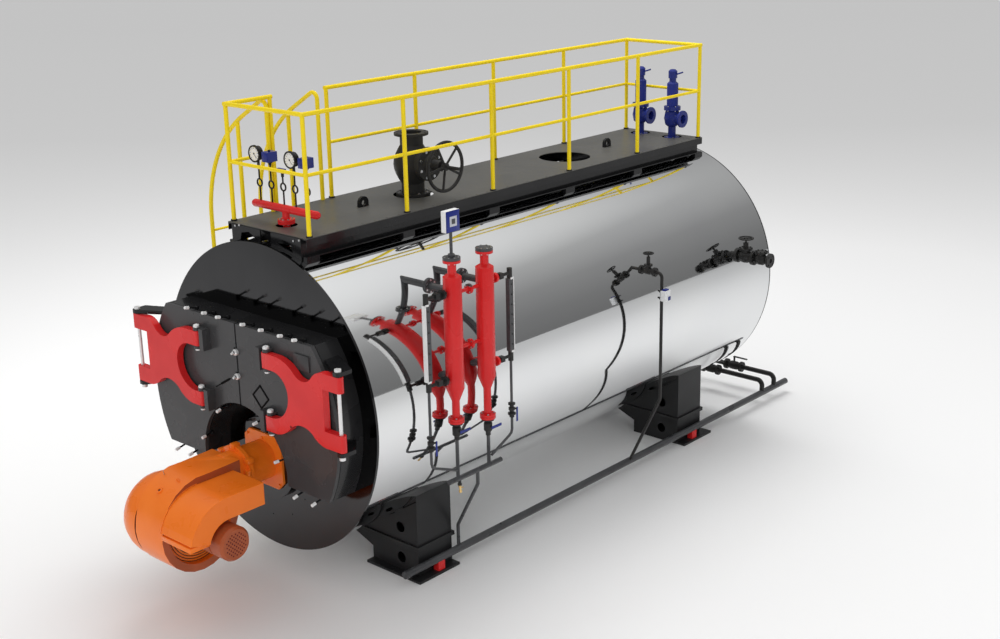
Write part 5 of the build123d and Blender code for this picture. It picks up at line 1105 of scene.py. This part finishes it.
@dataclass
class Burner(SubAssembly):
    """The burner on the front plate."""

    furnace_z: float = -578.0
    fan_y: float = -990.0
    fan_z: float = -890.0
    plate_face: float = -88.0
    plate_bolt: float = 212.0
    plate_head: Pair = (13.0, 11.0)
    neck_y: Pair = (-422.0, -378.0)
    neck_circle: float = 214.0
    neck_bolts: int = 12
    lug_circle: float = 236.0
    lug_angles: Point = (35.0, 90.0, 145.0)
    motor_end: float = 706.0
    motor_grid: Point = (118.0, 25.0, 7.8)
    grille_x: float = 148.0
    grille_radii: tuple[float, ...] = (200.0, 224.0, 248.0, 272.0, 296.0, 320.0)
    slot_x: Pair = (-227.0, -199.0)
    slot_reach: float = 390.0
    side_x: float = 200.0
    side_reach: float = 430.0
    seam_radius: float = 426.0
    seam_angles: Pair = (166.0, 90.0)
    tip_radius: float = 214.0
    boss: Point = (-20.0, -1223.0, -508.0)
    boss_axis: Point = (0.0, -0.523, 0.852)
    stud: tuple[Point, Point] = ((-125.0, -1091.0, -440.0), (-125.0, -1102.0, -394.0))
    ring: Point = (85.0, -1101.0, -424.0)
    ring_radius: float = 17.0

    def dress(self) -> None:
        """Paint the castings orange, with painted shade in a darker orange on the housing's +X side face and
        on the motor, and add the bolts, boss, studs and perforations.
        """
        # Painted shade: the housing's side face towards +X is tinted the darker shaded orange, as it faces
        # away from the light.
        side = self._disc_tint(SHADED_ORANGE, (self.side_x - 1, self.side_x + 1), self.side_reach)
        slot = self._disc_tint(SLOT_RED, self.slot_x, self.slot_reach)
        self.paint(DARK_MIRROR, "burner_ring", edge=3.0)
        self.paint(ORANGE_GLOSS, "burner_plate", edge=3.0)
        self.paint(ORANGE_GLOSS, "burner_housing", edge=6.0, smooth_angle=28.0, tints=(side,))
        self.paint(ORANGE_GLOSS, "burner_inlet", smooth_angle=30.0, tints=(slot,))
        self.paint(ORANGE_GLOSS, "burner_hood", edge=6.0, smooth_angle=28.0)
        # Painted shade: the motor is painted in the darker shaded orange in place of the orange enamel.
        self.paint(SHADED_ORANGE, "burner_motor", edge=2.0)
        self._perforations()
        self._bolts()
        self._boss()
        self._trim()

    def _disc_tint(self, finish: Finish, x: Pair, reach: float) -> Tint:
        """Tint what lies between two distances from the axis, around the fan's own."""
        return Tint(finish, (x[0], self.fan_y - reach, self.fan_z - reach),
                    (x[1], self.fan_y + reach, self.fan_z + reach))

    def _round_fan(self, x: float, points: Iterable[Pair]) -> list[Point]:
        """Put flat points round the fan's axis."""
        return [(x, self.fan_y + y, self.fan_z + z) for y, z in points]

    def _perforations(self) -> None:
        """Pierce the motor's end, and set the rings of the air intake."""
        end = at((self.motor_end + 0.5, self.fan_y, self.fan_z), RIGHT)
        self.put("motor_perforations", SLOT_RED, Slot.ORANGE,
                 [self.forge.perforations(end, *self.motor_grid, SLOT_RED)])
        self.put("intake_grille", CASTING_BLACK, Slot.ORANGE, [
            self.forge.tube(self._round_fan(self.grille_x, arc(radius, 0.0, 360.0, 48)), 3.0, 8)
            for radius in self.grille_radii
        ])

    def _bolts(self) -> None:
        """Bolt the plate to the front and the head to the housing."""
        steps = (-self.plate_bolt, 0.0, self.plate_bolt)
        spots = [(x, self.plate_face, self.furnace_z + z) for x in steps for z in steps if x or z]
        self.heads("burner_plate_bolts", ORANGE_GLOSS, Slot.ORANGE, spots, FRONT, self.plate_head)
        self.bolts("burner_neck_bolts", [
            BoltRing((0.0, y, self.furnace_z), axis, self.neck_circle, self.neck_bolts)
            for y, axis in zip(self.neck_y, (FRONT, REAR))
        ], ORANGE_GLOSS, Slot.ORANGE)

    def _boss(self) -> None:
        """Add the sight boss, the stud and the lifting ring on the top of the scroll."""
        boss = [(0, -8), (30, -8), (30, 8), (26, 12), (17, 12), (15, 2), (0, 2)]
        self.put("sight_boss", ORANGE_GLOSS, Slot.ORANGE, [self.lathe(boss, self.boss, self.boss_axis, 32)])
        hole = [(0, 2.5), (14, 2.5), (14, 4), (0, 4)]
        self.put("sight_hole", CASTING_BLACK, Slot.BLACK, [self.lathe(hole, self.boss, self.boss_axis, 28)])
        self.put("scroll_stud", BARE_STEEL, Slot.STEEL, [self.pin(*self.stud, 5.0)])
        x, y, z = self.ring
        route = [(x + a, y, z + b) for a, b in arc(self.ring_radius, 0.0, 360.0, 24)]
        self.put("lifting_ring", ORANGE_GLOSS, Slot.ORANGE, [self.forge.tube(route, 5.0, 10)])

    def _trim(self) -> None:
        """Add the seam between hood and housing, the hood's tip strip and the flange lugs."""
        seam = self._round_fan(self.side_x, arc(self.seam_radius, *self.seam_angles, 24))
        _, y, z = self._round_fan(self.side_x, arc(self.tip_radius, *self.seam_angles, 1))[0]
        pieces = [self.forge.tube(seam, 4.0, 8)]
        pieces.append(self.forge.block((210.0, y - 205, z - 14), (620.0, y - 4, z + 32), 4.0))
        for angle in self.lug_angles:
            x, z = arc(self.lug_circle, angle, angle, 1)[0]
            top = self.furnace_z + z
            pieces.append(self.forge.block((x - 30, -440.0, top - 24), (x + 30, -362.0, top + 24), 6.0))
        self.put("burner_trim", ORANGE_GLOSS, Slot.ORANGE, pieces)


@dataclass
class Legs(SubAssembly):
    """The four welded legs."""

    web_y: Pair = (835.0, 5582.0)
    slots: tuple[tuple[Pair, Pair], ...] = (
        ((417.0, -1398.0), (520.0, -1349.0)), ((641.0, -1300.0), (761.0, -1239.0)),
        ((885.0, -1153.0), (1057.0, -1043.0)),
    )
    slot_radius: float = 6.0

    def dress(self) -> None:
        """Paint the legs and draw the slots along their webs."""
        self.paint(LEG_GREY, "front_legs", "rear_legs", edge=2.0)
        self.put("leg_slots", MATT_BLACK, Slot.BLACK, [
            self.pin((near[0] * side, y, near[1]), (far[0] * side, y, far[1]), self.slot_radius, 12)
            for y in self.web_y for side in (-1.0, 1.0) for near, far in self.slots
        ])


@dataclass
class Deck(SubAssembly):
    """The walkway on the shell, with its beams, bracket bolts and lifting lugs."""

    front_face: float = 119.0
    front_bolts: tuple[Pair, ...] = ((392.0, 1535.0), (471.0, 1552.0), (-426.0, 1553.0), (-366.0, 1567.0))
    front_head: Pair = (11.0, 10.0)
    half_width: float = 550.0
    screw_pitch: float = 150.0
    screw_inset: float = 26.0
    screw_outline: tuple[Pair, ...] = ((0, 0), (9, 0), (9, 1.5), (6, 3), (0, 3))

    def dress(self) -> None:
        """Paint the plates and beams and set the bolts at the front and the plates' screws."""
        self.paint(DECK_GREY, "deck_plates", "manhole_panel", edge=1.5)
        self.paint(BLACK_GLOSS, "deck_side_beams", "deck_cross_beams", "deck_brackets", edge=1.0)
        self.paint(BLACK_GLOSS, "lifting_lugs", edge=2.0)
        self.heads("deck_front_bolts", BARE_STEEL, Slot.BLACK,
                   [(x, self.front_face, z) for x, z in self.front_bolts], FRONT, self.front_head)
        self._screws()

    def _screws(self) -> None:
        """Set a row of flat screws along each long edge of the deck, in the frame's metres."""
        low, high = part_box("deck_plates")
        count = int((high[1] - low[1]) / (self.screw_pitch * MM))
        step = (high[1] - low[1]) / count
        side = (self.half_width - self.screw_inset) * MM
        places = [Matrix.Translation((x, low[1] + (index + 0.5) * step, high[2]))
                  for index in range(count) for x in (-side, side)]
        screw = self.forge.turned(self.screw_outline, facing(UP), 10)
        self.copies("deck_screws", DECK_GREY, Slot.BLACK, screw, places)


@dataclass
class GuardRail(SubAssembly):
    """The yellow guard rail and the ladder."""

    deck_top: float = 1574.0
    post_x: float = 528.0
    first_y: float = 185.0
    pitch: float = 1203.0
    count: int = 6
    gate_y: float = 694.0
    collar_outline: tuple[Pair, ...] = ((0, 0), (31, 0), (31, 11), (28, 14), (0, 14))

    def dress(self) -> None:
        """Paint every tube yellow and set the dark collars round the posts' feet."""
        self.paint(YELLOW_GLOSS, "guard_posts", "top_rail", "mid_rails", "handrail_arches", "handrail_props",
                   "ladder_stiles", "ladder_rungs")
        spots = [(x, self.first_y + self.pitch * index) for x in (-self.post_x, self.post_x)
                 for index in range(self.count)]
        spots.append((-self.post_x, self.gate_y))
        collar = self.forge.turned(self.collar_outline, facing(UP), 24)
        self.copies("post_collars", BLACK_GLOSS, Slot.YELLOW, collar,
                    [spot((x, y, self.deck_top)) for x, y in spots])


@dataclass
class StopValve(SubAssembly):
    """The steam stop valve with its large handwheel."""

    joint: Point = (0.0, 1995.0, 1571.0)
    flange_thick: float = 26.0
    joint_circle: float = 146.0
    bonnet_z: float = 1900.0
    bonnet_x: Pair = (196.0, 248.3)
    bonnet_circles: Pair = (142.0, 134.0)
    count: int = 8
    head: float = 12.0

    def dress(self) -> None:
        """Finish the castings and bolt the flanges."""
        self.paint(CASTING_BLACK, "stop_valve_body", "stop_valve_bonnet", edge=2.0)
        self.paint(CASTING_BLACK, "stop_valve_wheel")
        rings = joint_rings(self.joint, UP, self.flange_thick, self.joint_circle, self.count, self.head)
        for x, axis, circle in zip(self.bonnet_x, (LEFT, RIGHT), self.bonnet_circles):
            rings.append(BoltRing((x, self.joint[1], self.bonnet_z), axis, circle, self.count, self.head))
        self.bolts("stop_valve_bolts", rings)


@dataclass
class GaugeRow(SubAssembly):
    """The gauge header with its siphons, gauges and switches."""

    y: float = 370.0
    joint_z: float = 1610.0
    gauge_x: Pair = (-346.0, 152.0)
    gauge_z: float = 2195.0
    dial_y: float = 330.0
    case_radius: float = 80.0
    dial_radius: float = 65.0
    stroke: tuple[Point, Point] = ((-1.6, -1.2, 46.0), (1.6, 0.0, 60.0))
    needle: tuple[Point, Point] = ((-2.0, -2.2, -14.0), (2.0, -1.2, 46.0))
    stroke_lift: float = 3.6
    strokes: int = 11
    scale_sweep: float = 270.0
    needle_angle: float = 140.0
    switch_x: Pair = (-180.0, 320.0)
    switch_z: float = 2137.0

    def dress(self) -> None:
        """Finish the header's pieces and make the dials."""
        self.paint(RED_GLOSS, "gauge_header", edge=1.0)
        self.paint(BLACK_GLOSS, "siphons")
        self.paint(BLACK_GLOSS, "pressure_gauges", edge=1.0)
        self.paint(BLUE_GLOSS, "pressure_switches", edge=6.0)
        self.bolts("header_bolts", joint_rings((0.0, self.y, self.joint_z), UP, 20.0, 59.0, 8, 9.0))
        self._dials()
        self._switch_trim()

    def _dials(self) -> None:
        """Make each gauge's rim, dial, marks and needle."""
        rim, dial = self.case_radius, self.dial_radius
        rims = [(0, 0), (rim, 0), (rim, 6), (rim - 4, 10), (dial + 3, 10), (dial, 6), (dial, 2), (0, 2)]
        discs = [(0, 2.2), (dial - 0.5, 2.2), (dial - 0.5, 3.5), (0, 3.5)]
        centres = [(x, self.dial_y, self.gauge_z) for x in self.gauge_x]
        for title, finish, slot, outline in (("gauge_rims", BLACK_GLOSS, Slot.STEEL, rims),
                                             ("gauge_dials", DIAL_WHITE, Slot.WHITE, discs)):
            self.put(title, finish, slot, [self.lathe(outline, c, FRONT, 56) for c in centres])
        self.put("gauge_marks", CASTING_BLACK, Slot.BLACK, [self._marks(c) for c in centres])

    def _marks(self, centre: Point) -> bpy.types.Mesh:
        """Set the strokes of one dial, with its needle and hub."""
        x, y, z = centre
        middle = spot((x, y - self.stroke_lift, z))
        turns = [self.scale_sweep * (k / (self.strokes - 1) - 0.5) for k in range(self.strokes)]
        places = [middle @ Matrix.Rotation(math.radians(turn), 4, "Y") for turn in turns]
        strokes = self.forge.scatter(self.forge.block(*self.stroke, 0.3, loose), places, CASTING_BLACK)
        needle = self.forge.block(*self.needle, 0.3, loose)
        needle.transform(middle @ Matrix.Rotation(math.radians(self.needle_angle), 4, "Y"))
        hub = self.lathe([(0, 3.6), (7, 3.6), (7, 7), (4, 8), (0, 8)], centre, FRONT, 20)
        return self.forge.joined([strokes, needle, hub])

    def _switch_trim(self) -> None:
        """Add the switches' black feet, lids and setting knobs."""
        foot = [(0, -26), (15, -26), (15, -14), (24, -12), (24, -1), (0, -1)]
        knob = [(0, 92), (13, 92), (13, 104), (9, 108), (0, 108)]
        y, z = self.y, self.switch_z
        self.put("switch_feet", BLACK_GLOSS, Slot.BLACK, [
            self.lathe(outline, (x, y, z), UP, steps)
            for x in self.switch_x for outline, steps in ((foot, 24), (knob, 20))
        ])
        self.put("switch_lids", BLUE_GLOSS, Slot.BLUE, [
            self.forge.block((x - 36, y - 59, z + 10), (x + 36, y - 54, z + 82), 2.0) for x in self.switch_x
        ])


@dataclass
class SafetyValves(SubAssembly):
    """The two safety valves at the rear of the deck."""

    x: float = 231.0
    y: float = 6090.0
    joint_z: float = 1546.0
    top_z: float = 1912.0
    outlet_z: float = 1793.0
    outlet_reach: float = 135.0

    def dress(self) -> None:
        """Finish the castings and bolt the flanges."""
        self.paint(BLUE_GLOSS, "safety_valve_bodies", "safety_valve_bonnets", edge=2.0)
        rings = []
        for x in (-self.x, self.x):
            rings += joint_rings((x, self.y, self.joint_z), UP, 24.0, 68.0, 4, 10.0)
            rings += joint_rings((x, self.y, self.top_z), UP, 22.0, 83.0, 6, 9.0)
            rings.append(BoltRing((x + self.outlet_reach, self.y, self.outlet_z), LEFT, 83.0, 4, 9.0))
        self.bolts("safety_valve_bolts", rings)


@dataclass
class LevelColumns(SubAssembly):
    """The red level columns with their glasses, cocks and drains."""

    x: float = 1548.0
    y: Pair = (912.0, 1332.0)
    lid_z: float = 1412.0
    lid_reach: float = 90.0
    link_z: Pair = (1075.0, 560.0)
    glass_y: Pair = (577.0, 1667.0)
    glass_z: Pair = (348.0, 1052.0)
    screw_z: tuple[float, ...] = (420.0, 516.0, 612.0, 708.0, 804.0, 900.0, 996.0)
    branch_x: float = 1262.8
    branch_z: float = 1100.0
    head_z: Pair = (1640.0, 1830.0)
    window_y: Pair = (868.0, 956.0)
    window_z: Pair = (1690.0, 1780.0)
    window_rim: float = 22.0
    neck_z: Pair = (-86.0, -173.0)
    cock: Pair = (931.0, -690.0)
    drain_z: Point = (262.0, -172.0, -475.0)
    drain_ends: Pair = (912.0, 1372.0)
    drain_end_z: float = -606.0
    drain_radius: float = 13.0

    def dress(self) -> None:
        """Finish the columns and what hangs on them."""
        x, reach, (near, far) = self.x, self.lid_reach, self.y
        lids = [Tint(PIPE_GREY, (x - reach, y - reach, self.lid_z - 24.5),
                     (x + reach, y + reach, self.lid_z + 1)) for y in self.y]
        self.paint(RED_GLOSS, "level_columns", edge=2.0, tints=lids)
        links = Tint(RED_GLOSS, (x - 60, near, 500.0), (x + 60, far, 1100.0))
        self.paint(PIPE_GREY, "column_pipes", edge=1.0, tints=(links,))
        second = Tint(RED_GLOSS, (x - 60, far, 200.0), (x + 60, far + 147.5, 1200.0))
        self.paint(CASTING_BLACK, "gauge_connections", edge=1.0, tints=(second,))
        self._glasses()
        self._transmitter()
        self._drains()
        self._glass_drains()
        self._flange_bolts()

    def _glasses(self) -> None:
        """Show each glass as a dark body with a white scale on the side away from its column."""
        low, high = self.glass_z
        tints, strips = [], []
        for y, side in zip(self.glass_y, (-1, 1)):
            face = y + side * 30
            low_corner, high_corner = (self.x - 30, face - 0.5, 300.0), (self.x + 30, face + 0.5, 1100.0)
            tints.append(Tint(DIAL_WHITE, low_corner, high_corner))
            spans = [(31, -12, z - 9, z + 9) for z in self.glass_z] + [(33, 24, low, high)]
            for first, second, bottom, top in spans:
                near, far = sorted((y + side * first, y + side * second))
                strips.append(self.forge.block((self.x + 22, near, bottom), (self.x + 27, far, top), 1.0))
        self.paint(PIPE_GREY, "gauge_glasses", edge=3.0, tints=tints)
        self.put("glass_scales", DIAL_WHITE, Slot.WHITE, strips)
        self.heads("glass_screws", CASTING_BLACK, Slot.STEEL,
                   [(self.x + 24, y, z) for y in self.glass_y for z in self.screw_z], RIGHT, (7.0, 6.0))

    def _transmitter(self) -> None:
        """Show the transmitter's head as a white case with a blue cover and a pale window."""
        x, y, (low, high) = self.x, self.y[0], self.head_z
        case = Tint(DIAL_WHITE, (x - 31, y - 86, low - 1), (x + 29, y + 84, high + 1))
        blue = Tint(BLUE_GLOSS, (x + 29, y - 86, low - 1), (x + 31, y + 86, high + 1))
        self.paint(PIPE_GREY, "level_transmitter", edge=3.0, tints=(blue, case))
        cover = self.forge.block((x + 30, y - 78, low + 8), (x + 36, y + 78, high - 8), 4.0)
        self.put("transmitter_cover", BLUE_GLOSS, Slot.BLUE, [cover])
        (near, far), (bottom, top), rim = self.window_y, self.window_z, self.window_rim
        pane = self.forge.block((x + 35, near, bottom), (x + 38, far, top), 1.5)
        self.put("transmitter_window", SCREEN, Slot.WHITE, [pane])
        field = self.forge.block((x + 38, near + rim, bottom + rim), (x + 39, far - rim, top - rim), 0.4)
        self.put("transmitter_field", PIPE_GREY, Slot.WHITE, [field])

    def _drains(self) -> None:
        """Finish the columns' drains, with blue levers and a brass cock under the collector."""
        levers = [Tint(BLUE_GLOSS, (self.x + 51, y - 15, neck - 146), (self.x + 64, y + 125, neck - 116))
                  for y, neck in zip(self.y, self.neck_z)]
        self.paint(CASTING_BLACK, "drain_valves", edge=1.0, tints=levers)
        self.paint(PIPE_GREY, "drain_pipes")
        y, z = self.cock
        stem = [(0, 0), (15, 0), (15, 50), (20, 54), (20, 70), (0, 70)]
        self.put("drain_stem", CASTING_BLACK, Slot.STEEL, [self.lathe(stem, (self.x, y, z), DOWN, 24)])
        low = z - 68
        plug = [(0, 0), (15, 0), (15, 18), (11, 22), (11, 50), (15, 54), (15, 76), (0, 76)]
        self.put("drain_cock", BRASS, Slot.STEEL, [
            self.lathe(plug, (self.x, y, low), (0.0, 0.1, -1.0), 24),
            self.forge.block((self.x - 5, y + 4, low - 40), (self.x + 5, y + 46, low - 32), 2.0),
        ])

    def _glass_drains(self) -> None:
        """Lead a thin drain with a valve and a hanging lever down from each gauge glass."""
        valve = [(0, 0), (34, 0), (34, 16), (20, 18), (20, 40), (30, 46), (30, 72), (20, 78), (20, 96),
                 (38, 98), (38, 114), (24, 116), (24, 140), (0, 140)]
        pipes, valves, levers = [], [], []
        x, (high, flange, corner) = self.x, self.drain_z
        for y, end in zip(self.glass_y, self.drain_ends):
            side = math.copysign(1.0, end - y)
            route = [(x, y, high), (x, y, flange), (x, y, corner + 40), (x, y + side * 12, corner + 6),
                     (x, y + side * 45, corner - 16), (x, end, self.drain_end_z)]
            pipes.append(self.forge.tube(route, self.drain_radius, 16))
            valves.append(self.lathe(valve, (x, y, flange), DOWN, 32))
            valves.append(self.pin((x, y, flange - 58), (x + 34, y + 34, flange - 58), 9.0))
            lever = ((x + 26, y + 30, flange - 190), (x + 34, y + 52, flange - 46))
            levers.append(self.forge.block(*lever, 3.0))
        self.put("glass_drain_pipes", PIPE_GREY, Slot.STEEL, pipes)
        self.put("glass_drain_valves", CASTING_BLACK, Slot.STEEL, valves)
        self.put("glass_drain_levers", BLUE_GLOSS, Slot.BLUE, levers)

    def _flange_bolts(self) -> None:
        """Bolt the lids, necks, branches and links."""
        rings = []
        for y, neck in zip(self.y, self.neck_z):
            rings += joint_rings((self.x, y, self.lid_z - 25), UP, 25.0, 64.0, 8, 8.0)
            rings.append(BoltRing((self.x, y, neck), UP, 57.0, 4, 8.0))
            rings += joint_rings((self.branch_x, y, self.branch_z), RIGHT, 17.0, 55.0, 6, 8.0)
        for z in self.link_z:
            rings += joint_rings((self.x, sum(self.y) / 2, z), REAR, 13.0, 36.0, 4, 6.0)
        self.bolts("column_bolts", rings)


@dataclass
class FloorPipes(SubAssembly):
    """The long floor pipe with the sampling, feed and blowdown lines."""

    shoe_x: Pair = (1070.0, 1155.0)
    shoe_y: Pair = (1065.0, 5352.0)
    shoe_z: Pair = (-1830.0, -1709.5)
    shoe_half: float = 50.0
    sample: Point = (1515.0, 3871.0, 627.0)
    sample_reach: float = 85.0
    drop_x: float = 1690.0
    box_x: Pair = (1707.3, 1767.3)
    box_z: Pair = (345.0, 455.0)
    feed_y: float = 5663.0
    feed_z: float = 410.0
    feed_joints: Pair = (1468.0, 1678.0)
    feed_lids: tuple[Point, Point] = ((1568.0, 98.0, 66.0), (1772.0, 90.0, 60.0))
    blow_z: float = -1540.0
    blow_valves: tuple[Pair, Pair] = ((350.0, 6890.0), (520.0, 7170.0))
    blow_reach: float = 110.0

    def dress(self) -> None:
        """Finish the pipes and their valves, and bolt their flanges."""
        shoes = [Tint(RED_GLOSS, (self.shoe_x[0], y - self.shoe_half, self.shoe_z[0]),
                      (self.shoe_x[1], y + self.shoe_half, self.shoe_z[1])) for y in self.shoe_y]
        self.paint(PIPE_GREY, "floor_pipe", edge=1.0, tints=shoes)
        self.paint(CASTING_BLACK, "sample_line", "feed_line", "blowdown_lines", edge=1.0)
        self.paint(CASTING_BLACK, "sample_wheel", "feed_wheel")
        self.paint(WHITE_PLASTIC, "sample_box", edge=4.0)
        self._sample_box()
        self._flange_bolts()

    def _sample_box(self) -> None:
        """Add the sensor box's blue cover, its lower corner, the black clamps and the ribs."""
        y, x, (near, far), (low, high) = self.sample[1], self.drop_x, self.box_x, self.box_z
        block = self.forge.block
        self.put("sample_box_cover", BLUE_GLOSS, Slot.BLUE, [
            block((near + 6, y - 34, high - 1), (far - 8, y + 34, high + 14), 4.0),
            block((far, y + 6, low + 4), (far + 6, y + 46, low + 44), 2.0),
        ])
        clamps = []
        for z in (low + 18, high - 18):
            clamps.append(self.lathe([(0, -11), (25, -11), (25, 11), (0, 11)], (x, y, z), UP, 24))
            clamps.append(block((x - 46, y - 9, z - 8), (x - 20, y + 9, z + 8), 2.0))
        self.put("sample_box_clamps", BLACK_GLOSS, Slot.BLACK, clamps)
        self.put("sample_box_ribs", WHITE_PLASTIC, Slot.WHITE, [
            block((near + 8, y - 52.5, z), (far - 8, y - 49, z + 7), 1.0)
            for z in (low + 22, low + 42, low + 62, low + 82)
        ])

    def _flange_bolts(self) -> None:
        """Bolt the flanges of the sampling, feed and blowdown lines."""
        x, y, z = self.sample
        rings = []
        for side in (-1, 1):
            rings += joint_rings((x + side * self.sample_reach, y, z), RIGHT, 14.0, 37.0, 4, 6.0)
        rings += joint_rings((x, y, z + 61), UP, 9.0, 38.0, 4, 5.0)
        for joint in self.feed_joints:
            rings += joint_rings((joint, self.feed_y, self.feed_z), RIGHT, 19.0, 63.0, 8, 8.0)
        for lid, height, circle in self.feed_lids:
            rings.append(BoltRing((lid, self.feed_y, self.feed_z + height), UP, circle, 8, 8.0))
        for valve, line in self.blow_valves:
            for side in (-1, 1):
                middle = (valve + side * self.blow_reach, line, self.blow_z)
                rings += joint_rings(middle, RIGHT, 17.0, 51.0, 4, 8.0)
        self.bolts("pipe_flange_bolts", rings, BLACK_GLOSS)


def main() -> None:
    """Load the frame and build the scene."""
    logging.basicConfig(level=logging.INFO, format="%(name)s: %(message)s")
    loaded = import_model()
    cad_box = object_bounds()
    Viewpoint().build()
    Studio().build()
    bench, forge = Bench(loaded["record"]), Forge()
    for group in (Cladding, Smokebox, Doors, Burner, Legs, Deck, GuardRail, StopValve, GaugeRow,
                  SafetyValves, LevelColumns, FloorPipes):
        group(bench, forge).dress()
    LOG.info("%d pieces finished", bench.count)
    boxes = {"cad": cad_box, "visual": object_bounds()}
    plain = {name: [[float(v) for v in corner] for corner in box] for name, box in boxes.items()}


if __name__ == "__main__":
    main()
